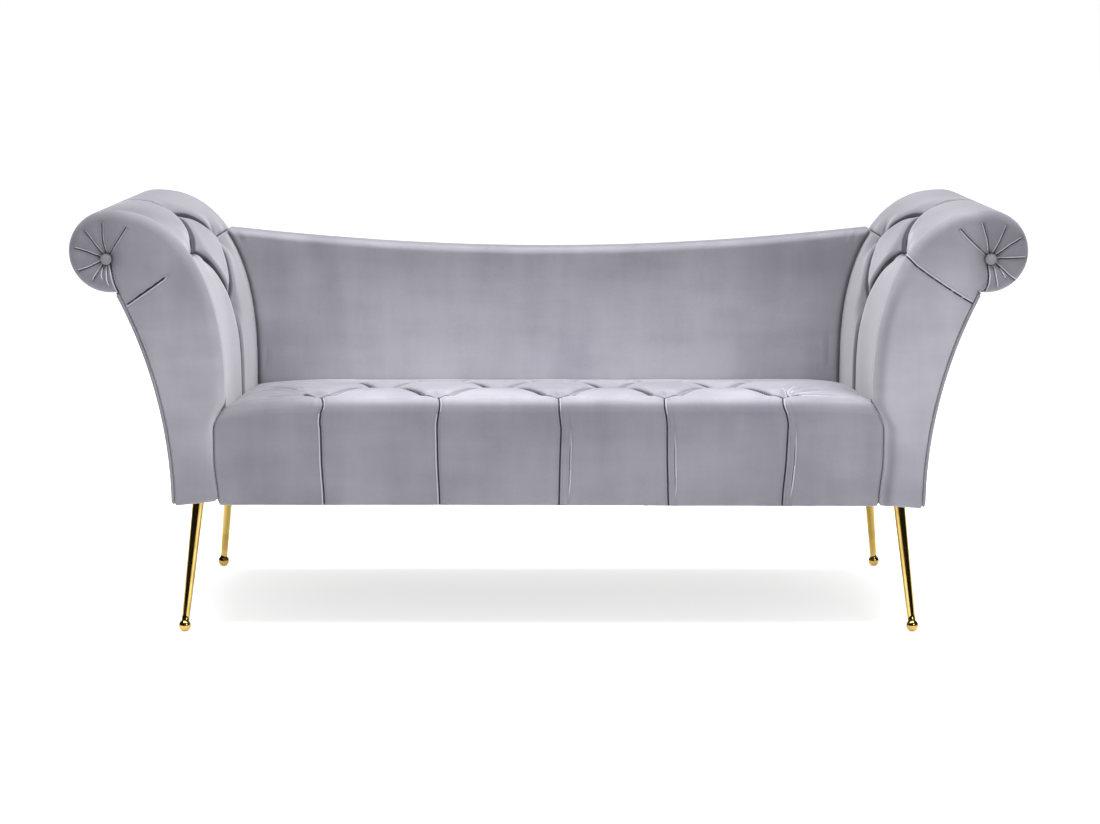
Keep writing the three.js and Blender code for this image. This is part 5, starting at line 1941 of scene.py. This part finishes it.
@dataclass
class Back:
    """The low back: a plain padded front that rolls over the dipped top, and a flat cover behind."""

    section: ArmSection = field(default_factory=ArmSection)
    face: float = 0.216
    frame_face: float = 0.2443
    cover_face: float = 0.2786
    rear: float = 0.2836
    foot: float = 0.370
    top_middle: float = 0.652
    top_dip: float = 0.038
    top_padding: float = 0.018
    edge_radius: float = 0.014
    rear_radius: float = 0.008
    crown: float = 0.005
    spacing: float = 0.0045
    half_about: float = 0.65
    height_about: float = 0.26
    inner_columns: int = 17
    cover_spacing: float = 0.006
    cover_about: float = 0.4
    slacks: tuple[float, ...] = (0.0011, 0.0006, 0.0012)
    front_reach: float = 0.02
    side_rounding: float = 0.010
    cover_rounding: float = 0.003
    slack_fade: float = 0.05
    face_rows: int = 9
    top_rows: int = 5
    cover_rows: int = 13
    tuck: Crease = Crease(slit=0.0026, slit_width=0.006, lip=0.0016, thin=0.0010, gleam=0.1, fade_out=0.03)
    wrinkle: Crease = Crease(
        slit=0.0018, slit_width=0.007, lip=0.0012, thin=0.0014, gleam=0.1, fade_in=0.02, fade_out=0.04
    )

    def top(self, share: Array) -> Array:
        """Height of the top at a share of the half width."""
        return self.top_middle + self.top_dip * share**2

    def half(self, height: Array) -> Array:
        """Half the back's width at a height."""
        return self.section.flare_x(height) - self.section.soft_gap

    def tucks(self) -> Tufting:
        """Small tucks where the back runs in beside the arms, on a plan of width share and height.

        Returns:
            The folds.
        """
        tucks = [((x, 0.69), (x + lean, 0.655)) for x, lean in ((0.925, 0.02), (0.955, 0.012), (-0.965, -0.012))]
        places = ((0.962, 0.41, 0.50), (-0.972, 0.40, 0.47), (0.93, 0.395, 0.43))
        wrinkles = [((x, low), (x * 0.99, high)) for x, low, high in places]
        return Tufting([Fold(path, self.tuck) for path in tucks] + [Fold(path, self.wrinkle) for path in wrinkles])

    def cushion(self) -> bpy.types.Object:
        """Makes the padded front, which rolls over the top and down the rear edge.

        Returns:
            The cushion's object.
        """
        shares = spaced(-1, 1, self.spacing / self.half_about)
        y, z = self.skin_rows(shares)
        share = np.repeat(shares[None], len(z), 0)
        front = np.clip(1 - (y - self.face) / self.front_reach, 0, 1)
        drawn, looks = self.tucks().drawn(np.stack([share, z], -1))
        soft = self.slacks[0] * np.sin(share * 17 + z * 5) * np.sin(z * 16 + 0.6)
        soft = soft + self.slacks[1] * np.sin(share * 41 + 2 * z)
        side = edge_drop((1 - np.abs(share)) * self.half(z), self.side_rounding)
        y = y + front * (drawn + soft) + side * front
        z = z - (1 - front) * side * 0.6
        # Painted light and shade on the front: lighter low in the middle, as if lit from the seat, darker towards the
        # top.
        rise = (z - self.foot) / (self.top_middle - self.foot)
        middle = 1 - ramp(np.abs(share + 0.02), 0.25, 0.75)
        glow = 0.50 * bell(rise, 0.12, 0.24) * (0.35 + 0.65 * middle)
        looks["nap"] = front * (1.06 + glow - 0.62 * ramp(rise, 0.5, 0.5) + 0.12 * (1 - middle) * (share < 0))
        looks["nap"] -= 0.28

        coarse = np.linspace(-1, 1, self.inner_columns)
        under, near = self.top(coarse) - self.top_padding, self.frame_face - HAIR
        rows = [(near, mix(self.foot, under, rise)) for rise in np.linspace(0, 1, self.face_rows)]
        rows += [(depth, under) for depth in np.linspace(near, self.cover_face, self.top_rows)]
        inner = [np.stack([coarse * self.half(low), np.full_like(low, depth), low], -1) for depth, low in rows]
        outer = np.stack([share * self.half(z), y, z], -1)
        return closed_sheet("back_cushion", outer, np.stack(inner), looks)

    def skin_rows(self, shares: Array) -> tuple[Array, Array]:
        """The rows of the padded front, from its foot up, over the top and down the rear edge.

        Args:
            shares: Shares of the half width.

        Returns:
            Place along Y and height, a row each for every step of the way.
        """
        top = self.top(shares)
        face = self.face + self.crown * shares**4
        rises = spaced(0, 1, self.spacing / self.height_about)
        rows = [(face, mix(self.foot, top - self.edge_radius, rise)) for rise in rises]
        for turn in np.linspace(0, math.pi / 2, 12)[1:]:
            away = self.edge_radius * (1 - math.cos(turn))
            rows.append((face + away, top - self.edge_radius * (1 - math.sin(turn))))
        for depth in spaced(self.face + self.edge_radius, self.rear - self.rear_radius, self.spacing)[1:-1]:
            rows.append((np.maximum(depth, face + self.edge_radius), top))
        for turn in np.linspace(0, math.pi / 2, 7):
            depth = self.rear - self.rear_radius * (1 - math.sin(turn))
            rows.append((np.full_like(top, depth), top - self.rear_radius * (1 - math.cos(turn))))
        rows.append((np.full_like(top, self.rear), top - self.top_padding))
        return np.stack([y for y, _ in rows]), np.stack([z for _, z in rows])

    def rear_cover(self) -> bpy.types.Object:
        """Makes the flat cover of the rear.

        Returns:
            The cover's object.
        """
        low, gap = self.section.underside, self.section.soft_gap

        def grid(shares: Array, rises: Array) -> tuple[Array, Array, Array, Array]:
            """The cover's places.

            Args:
                shares: Shares of the half width.
                rises: Shares of the height.

            Returns:
                Each place's share and half of the width, its height, and the height of the top.
            """
            share, rise = np.meshgrid(shares, rises)
            top = self.top(share) - self.top_padding - gap
            height = mix(low, top, rise)
            return share, self.section.inner_edge_x(height) - gap, height, top

        rises = spaced(0, 1, self.cover_spacing / self.cover_about)
        share, half, z, top = grid(spaced(-1, 1, self.cover_spacing / self.half_about), rises)
        edge = np.minimum((1 - np.abs(share)) * half, np.minimum(z - low, top - z))
        slack = self.slacks[2] * np.sin(share * 9 + 0.4) * np.sin(z * 11) * smooth(edge / self.slack_fade)
        outer = np.stack([share * half, self.rear - edge_drop(edge, self.cover_rounding) - np.abs(slack), z], -1)
        share, half, z, _ = grid(np.linspace(-1, 1, self.inner_columns), np.linspace(0, 1, self.cover_rows))
        return closed_sheet("back_cover", outer, np.stack([share * half, np.full_like(z, self.cover_face), z], -1))

    def build(self, bench: Bench) -> None:
        """Makes and finishes both pieces.

        Args:
            bench: Where pieces are finished.
        """
        bench.place(self.cushion(), Slot.VELVET, ["back_pad"], fill=0.8)
        bench.place(self.rear_cover(), Slot.VELVET, ["back_rear_cover"])


@dataclass
class Leg:
    """A gilt steel leg: a splayed taper that ends in a ball, with a threaded stud at its top.

    The ball is cut flat where it stands on the floor.
    """

    side: Side
    end: End
    top_radius: float = 0.011
    ankle_radius: float = 0.00675
    ball_radius: float = 0.011
    flat_radius: float = 0.004
    splay_sideways: float = 0.025
    splay_forward: float = 0.037
    stud_radius: float = 0.004
    stud_pitch: float = 0.00125
    stud_sides: int = 16
    root_share: float = 0.86
    tip_share: float = 0.7
    sides: int = 64
    spare: float = 0.005

    def build(self, bench: Bench) -> None:
        """Makes and finishes the leg, in the place of its node.

        Args:
            bench: Where pieces are finished.
        """
        node = f"{self.end.word}_{self.side.word}_leg"
        low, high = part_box(f"{node}_plate")
        top = (low + high) / 2
        top.z = low.z
        level = low.z - HAIR
        leg = self.shaft(node.replace("_leg", "_gilt_leg"), top)
        self.trim(leg, level)
        self.add_stud(leg, top, level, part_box(node)[1].z)
        bench.place(leg, Slot.BRASS, [node])

    def shaft(self, name: str, top: Vector) -> bpy.types.Object:
        """Makes the ball and the taper, somewhat too long at both ends.

        Args:
            name: The leg's name.
            top: The middle of the leg's top.

        Returns:
            The leg's object.
        """
        foot_height = math.sqrt(self.ball_radius**2 - self.flat_radius**2)
        splay = Vector((self.side.value * self.splay_sideways, self.end.value * self.splay_forward, 0))
        foot = Vector((top.x + splay.x, top.y + splay.y, foot_height))
        axis = top - foot
        turn = Vector((0, 0, 1)).rotation_difference(axis.normalized()).to_matrix()
        ankle = math.acos(self.ankle_radius / self.ball_radius)
        ball = np.linspace(-math.pi / 2, ankle, 26)
        taper = np.linspace(self.ankle_radius, self.top_radius, 24)[1:]
        rises = np.linspace(self.ball_radius * math.sin(ankle), axis.length + self.spare, 24)[1:]
        radii = np.concatenate([self.ball_radius * np.cos(ball), taper, [0]])
        reach = np.concatenate([self.ball_radius * np.sin(ball), rises, rises[-1:]])
        around = np.linspace(0, 2 * math.pi, self.sides + 1)
        spread, angle = np.meshgrid(radii, around, indexing="ij")
        rise = np.repeat(reach[:, None], len(around), 1)
        local = np.stack([spread * np.cos(angle), spread * np.sin(angle), rise], -1)
        points = local @ np.array(turn).T + np.array(foot)
        points[:, -1] = points[:, 0]
        return one_grid(name, points)

    def trim(self, item: bpy.types.Object, height: float) -> None:
        """Cuts the leg level at its top, and flat on the floor.

        Args:
            item: The leg.
            height: Height of its top.
        """
        with edited(item.data) as work:
            for level, way in ((height, 1), (0.0, -1)):
                plane = {"plane_co": (0, 0, level), "plane_no": (0, 0, way), "clear_outer": True}
                cut = bmesh.ops.bisect_plane(work, geom=[*work.verts, *work.edges, *work.faces], **plane)
                edges = [part for part in cut["geom_cut"] if isinstance(part, bmesh.types.BMEdge)]
                for face in bmesh.ops.contextual_create(work, geom=edges)["faces"]:
                    face.smooth = False

    def add_stud(self, item: bpy.types.Object, centre: Vector, low: float, high: float) -> None:
        """Joins the threaded stud to the leg's top.

        Args:
            item: The leg.
            centre: The stud's place.
            low: Height of the leg's top.
            high: Height of the stud's tip.
        """
        crest, root, count = self.stud_radius, self.stud_radius * self.root_share, self.stud_sides
        profile = [(0.0, low + LIFT), (crest, low + LIFT)]
        for number in range(int((high - low) / self.stud_pitch)):
            start = low + number * self.stud_pitch
            profile += [(root, start + 0.4 * self.stud_pitch), (crest, start + 0.9 * self.stud_pitch)]
        profile += [(crest * self.tip_share, high), (0.0, high)]
        with edited(item.data) as work:
            rings = []
            for radius, height in profile:
                angles = np.linspace(0, 2 * math.pi, count, endpoint=False)[: count if radius else 1]
                places = [(centre.x + radius * math.cos(turn), centre.y + radius * math.sin(turn)) for turn in angles]
                rings.append([work.verts.new((*place, height)) for place in places])
            for lower, upper in zip(rings, rings[1:]):
                for number in range(count):
                    after = (number + 1) % count
                    around = ((lower, number), (lower, after), (upper, after), (upper, number))
                    work.faces.new(list(dict.fromkeys(ring[place % len(ring)] for ring, place in around)))


@dataclass
class Trimmings:
    """What repeats or follows a path, made with geometry nodes: welts, staples and screws."""

    finishes: Finishes
    staple_wire: float = 0.0007
    staple_inset: float = 0.008
    plate_room: float = 0.012
    screw_spread: float = 0.020

    def __post_init__(self) -> None:
        """Builds the node trees."""
        self.welt_tree = self.sweep_tree()
        self.staple_tree = self.row_tree()
        self.screw_tree = self.head_tree()

    def new_tree(self, name: str, sizes: dict[str, float]) -> tuple[Nodes, bpy.types.NodeOutputs]:
        """Starts a tree.

        Args:
            name: The tree's name.
            sizes: First value of each input between the geometry and the material. A whole one makes it a count.

        Returns:
            The tree's nodes and the outputs of its Group Input.
        """
        tree = bpy.data.node_groups.new(name, "GeometryNodeTree")
        kinds = {label: "Int" if isinstance(value, int) else "Float" for label, value in sizes.items()}
        for label, kind in ({"Geometry": "Geometry"} | kinds | {"Material": "Material"}).items():
            socket = tree.interface.new_socket(label, in_out="INPUT", socket_type=f"NodeSocket{kind}")
            if label in sizes:
                socket.default_value = sizes[label]
        tree.interface.new_socket("Geometry", in_out="OUTPUT", socket_type="NodeSocketGeometry")
        nodes = Nodes(tree)
        return nodes, nodes.add("NodeGroupInput").outputs

    def even_path(self, nodes: Nodes, given: bpy.types.NodeOutputs) -> bpy.types.NodeSocket:
        """The path that the tree is given, as a curve with evenly spaced points.

        Args:
            nodes: The tree's nodes.
            given: The outputs of its Group Input.

        Returns:
            The curve.
        """
        curve = nodes.add("GeometryNodeMeshToCurve", {0: given["Geometry"]}).outputs[0]
        inputs = {"Curve": curve, "Length": given["Spacing"]}
        return nodes.add("GeometryNodeResampleCurve", inputs, mode="LENGTH").outputs[0]

    def close_tree(
        self, nodes: Nodes, geometry: bpy.types.NodeSocket, material: bpy.types.NodeSocket
    ) -> bpy.types.NodeTree:
        """Ends a tree with its instances made real and its material set.

        Args:
            nodes: The tree's nodes.
            geometry: What it made.
            material: The material that it is given.

        Returns:
            The tree.
        """
        real = nodes.add("GeometryNodeRealizeInstances", {0: geometry}).outputs[0]
        dressed = nodes.add("GeometryNodeSetMaterial", {"Geometry": real, "Material": material}).outputs[0]
        nodes.add("NodeGroupOutput", {0: dressed})
        return nodes.tree

    def sweep_tree(self) -> bpy.types.NodeTree:
        """A tree that sweeps a cord along a path, a little uneven, with closed ends.

        Returns:
            The tree.
        """
        sizes = {"Cord Radius": 0.003, "Spacing": 0.002, "Sides": 14, "Unevenness": 0.05}
        nodes, given = self.new_tree("Welt", sizes)
        wave = nodes.noise(nodes.add("GeometryNodeInputPosition").outputs[0], 160.0, 1.0, 2.5)
        swing = nodes.math("MULTIPLY", nodes.math("SUBTRACT", wave, 0.5), given["Unevenness"])
        ring = {"Resolution": given["Sides"], "Radius": given["Cord Radius"]}
        profile = nodes.add("GeometryNodeCurvePrimitiveCircle", ring).outputs[0]
        path = {"Curve": self.even_path(nodes, given), "Profile Curve": profile}
        scale = {"Fill Caps": True, "Scale": nodes.math("ADD", swing, 0.97)}
        swept = nodes.add("GeometryNodeCurveToMesh", path | scale).outputs[0]
        soft = nodes.add("GeometryNodeSetShadeSmooth", {"Geometry": swept}).outputs[0]
        return self.close_tree(nodes, soft, given["Material"])

    def row_tree(self) -> bpy.types.NodeTree:
        """A tree that sets staples along a path, each a little askew.

        Returns:
            The tree.
        """
        sizes = {"Spacing": 0.03, "Crown": 0.0095, "Wire": 0.0007, "Askew": 0.12, "Seed": 7}
        nodes, given = self.new_tree("Staples", sizes)
        tangent = nodes.add("GeometryNodeInputTangent").outputs[0]
        aligned = nodes.add("FunctionNodeAlignRotationToVector", {"Vector": tangent}, axis="X").outputs[0]
        askew = nodes.spun(nodes.math("MULTIPLY", given["Askew"], -1.0), given["Askew"], given["Seed"])
        turns = {"Rotation": aligned, "Rotate By": askew}
        rotation = nodes.add("FunctionNodeRotateRotation", turns).outputs[0]
        size = nodes.vector(given["Crown"], given["Wire"], given["Wire"])
        bar = nodes.add("GeometryNodeMeshCube", {"Size": size}).outputs[0]
        inputs = {"Points": self.even_path(nodes, given), "Instance": bar, "Rotation": rotation}
        row = nodes.add("GeometryNodeInstanceOnPoints", inputs).outputs[0]
        return self.close_tree(nodes, row, given["Material"])

    def head_tree(self) -> bpy.types.NodeTree:
        """A tree that sets a cross-recessed screw head on each point.

        Returns:
            The tree.
        """
        sizes = {"Head Radius": 0.0042, "Head Height": 0.0024, "Slot Width": 0.0009, "Seed": 3}
        nodes, given = self.new_tree("Screws", sizes)
        radius, height, slot = given["Head Radius"], given["Head Height"], given["Slot Width"]
        ball = nodes.add("GeometryNodeMeshUVSphere", {"Segments": 24, "Rings": 12, "Radius": 1.0}).outputs[0]
        dome = {"Geometry": ball, "Scale": nodes.vector(radius, radius, height)}
        long = nodes.math("MULTIPLY", radius, 1.1)
        drop = nodes.vector(0.0, 0.0, nodes.math("MULTIPLY", height, -1.0))
        cross = nodes.add("GeometryNodeMeshBoolean", operation="UNION")
        for across in ((long, slot), (slot, long)):
            box = nodes.add("GeometryNodeMeshCube", {"Size": nodes.vector(*across, height)}).outputs[0]
            bar = nodes.add("GeometryNodeTransform", {"Geometry": box, "Translation": drop}).outputs[0]
            nodes.tree.links.new(bar, cross.inputs[1])
        parts = {0: nodes.add("GeometryNodeTransform", dome).outputs[0], 1: cross.outputs[0]}
        cut = nodes.add("GeometryNodeMeshBoolean", parts, operation="DIFFERENCE").outputs[0]
        points = nodes.add("GeometryNodeMeshToPoints", {"Mesh": given["Geometry"]}).outputs[0]
        inputs = {"Points": points, "Instance": cut, "Rotation": nodes.spun(0.0, math.pi, given["Seed"])}
        heads = nodes.add("GeometryNodeInstanceOnPoints", inputs).outputs[0]
        return self.close_tree(nodes, heads, given["Material"])

    def run(self, name: str, tree: bpy.types.NodeTree, path: Sequence[Place] | Array, slot: Slot,
            sizes: dict[str, float], joined: bool = True) -> bpy.types.Object:
        """Runs a tree on a path or on loose points, and keeps its result as a plain mesh.

        Args:
            name: The new piece's name.
            tree: The tree.
            path: The path's points, a row each.
            slot: The material slot of the result.
            sizes: A value for each of the tree's other inputs that isn't left as it is.
            joined: Whether the points are joined into one line.

        Returns:
            The new piece.
        """
        line = bpy.data.meshes.new(f"{name}_path")
        edges = [(i, i + 1) for i in range(len(path) - 1)] if joined else []
        line.from_pydata([tuple(place) for place in path], edges, [])
        carrier = linked(f"{name}_path", line)
        modifier = carrier.modifiers.new("Build", "NODES")
        modifier.node_group = tree
        inputs = sizes | {"Material": self.finishes.made[slot]}
        for item in tree.interface.items_tree:
            if item.item_type == "SOCKET" and item.in_out == "INPUT" and item.name in inputs:
                modifier[item.identifier] = inputs[item.name]
        graph = bpy.context.evaluated_depsgraph_get()
        mesh = bpy.data.meshes.new_from_object(carrier.evaluated_get(graph), depsgraph=graph)
        carrier.modifiers.clear()
        bpy.data.objects.remove(carrier)
        mesh.name = name
        return tidied(name, mesh)

    def welt(self, name: str, path: Array, radius: float) -> bpy.types.Object:
        """A covered cord along a path."""
        return self.run(name, self.welt_tree, path, Slot.VELVET, {"Cord Radius": radius})

    def build(self, bench: Bench) -> None:
        """Makes the staples of the dust cover and the screws of the leg plates.

        Args:
            bench: Where pieces are finished.
        """
        low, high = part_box("seat_dust_cover")
        plate_low, plate_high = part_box("front_right_leg_plate")
        level = low.z - self.staple_wire / 2 - LIFT
        reach_x, reach_y = high.x - self.staple_inset, high.y - self.staple_inset
        stop_x, stop_y = plate_low.x - self.plate_room, -plate_high.y - self.plate_room
        runs = []
        for way in (-1, 1):
            runs.append([(-stop_x, way * reach_y, level), (stop_x, way * reach_y, level)])
            runs.append([(way * reach_x, -stop_y, level), (way * reach_x, stop_y, level)])
        for number, run in enumerate(runs, 1):
            sizes = {"Seed": number + 2, "Wire": self.staple_wire}
            bench.place(self.run(f"dust_cover_staples_{number}", self.staple_tree, run, Slot.ZINC, sizes), Slot.ZINC)
        ways = (-self.screw_spread, self.screw_spread)
        for side in Side:
            for end in End:
                node = f"{end.word}_{side.word}_leg_plate"
                low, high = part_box(node)
                x, y = (low.x + high.x) / 2, (low.y + high.y) / 2
                spots = [(x + a, y + b, low.z) for a in ways for b in ways]
                sizes = {"Seed": 5 + side.value + 3 * end.value}
                bench.place(self.run(f"{node}_screws", self.screw_tree, spots, Slot.ZINC, sizes, False), Slot.ZINC)


@dataclass
class Studio:
    """A plain pale floor, soft light, and the camera at the photograph's viewing angle."""

    camera_place: Place = (0.0026, -4.679, 1.101)
    camera_tilt: float = math.radians(80.987)
    lens: float = 81.59
    sensor_width: float = 36.0
    floor_half: float = 40.0

    def build(self) -> None:
        """Makes the camera, the floor, the lights and the surroundings."""
        self.camera()
        self.floor()
        self.surroundings()
        self.softbox("top_softbox", (0.0, -0.2, 2.9), (3.4, 2.2), 190.0, (0.0, 0.0, 0.5))
        self.softbox("front_softbox", (2.2, -3.2, 1.8), (1.8, 1.4), 30.0, (0.0, 0.0, 0.45))
        view = bpy.context.scene.view_settings
        view.view_transform = "Standard"
        view.look = "None"

    def camera(self) -> None:
        """Makes the camera."""
        data = bpy.data.cameras.new("camera")
        data.lens = self.lens
        data.sensor_width = self.sensor_width
        item = linked("camera", data)
        item.location = self.camera_place
        item.rotation_euler = (self.camera_tilt, 0, 0)
        bpy.context.scene.camera = item

    def floor(self) -> None:
        """Makes the floor."""
        half = self.floor_half
        mesh = bpy.data.meshes.new("floor")
        mesh.from_pydata([(-half, -half, 0), (half, -half, 0), (half, half, 0), (-half, half, 0)], [], [(0, 1, 2, 3)])
        mesh.materials.append(Paper().build())
        linked("floor", mesh)

    def surroundings(self) -> None:
        """Makes the surroundings: white to the eye, softer as light, and with dark gaps in reflections."""
        world = bpy.data.worlds.new("studio")
        bpy.context.scene.world = world
        world.use_nodes = True
        world.node_tree.nodes.clear()
        nodes = Nodes(world.node_tree)
        way = nodes.add("ShaderNodeTexCoord").outputs["Generated"]
        apart = nodes.add("ShaderNodeSeparateXYZ", {0: way}).outputs
        rays = nodes.add("ShaderNodeLightPath").outputs
        soft = nodes.spread(apart[2], -0.2, 0.9, 0.24, 0.75)
        mirror = nodes.spread(apart[1], 0.55, 0.85, 0.02, 0.85)
        strength = soft
        for kind, light in (("Is Glossy Ray", mirror), ("Is Camera Ray", 1.0)):
            inputs = {0: rays[kind], 2: strength, 3: light}
            strength = nodes.add("ShaderNodeMix", inputs, data_type="FLOAT").outputs[0]
        back = nodes.add("ShaderNodeBackground", {"Color": (1.0, 1.0, 1.0), "Strength": strength})
        nodes.add("ShaderNodeOutputWorld", {"Surface": back.outputs[0]})

    def softbox(self, name: str, place: Place, size: Point, power: float, aim: Place) -> None:
        """Makes an area light.

        Args:
            name: The light's name.
            place: Where it hangs.
            size: Its width and height.
            power: Its power in watts.
            aim: The point that it faces.
        """
        data = bpy.data.lights.new(name, "AREA")
        data.shape = "RECTANGLE"
        data.size, data.size_y = size
        data.energy = power
        item = linked(name, data)
        item.location = place
        item.rotation_euler = (Vector(aim) - Vector(place)).to_track_quat("-Z", "Y").to_euler()


def main() -> None:
    """Builds the studio and the couch's sub-assemblies, in order."""
    logging.basicConfig(level=logging.INFO, format="%(name)s: %(message)s")
    Studio().build()
    finishes = Finishes()
    finishes.dress_nodes()
    bench = Bench(finishes)
    trimmings = Trimmings(finishes)
    Seat().build(bench)
    Back().build(bench)
    for side in Side:
        Arm(side).build(bench, trimmings)
        for end in End:
            Leg(side, end).build(bench)
    trimmings.build(bench)
    log.info("the new pieces have %d triangles in all", bench.triangles)


if __name__ == "__main__":
    main()
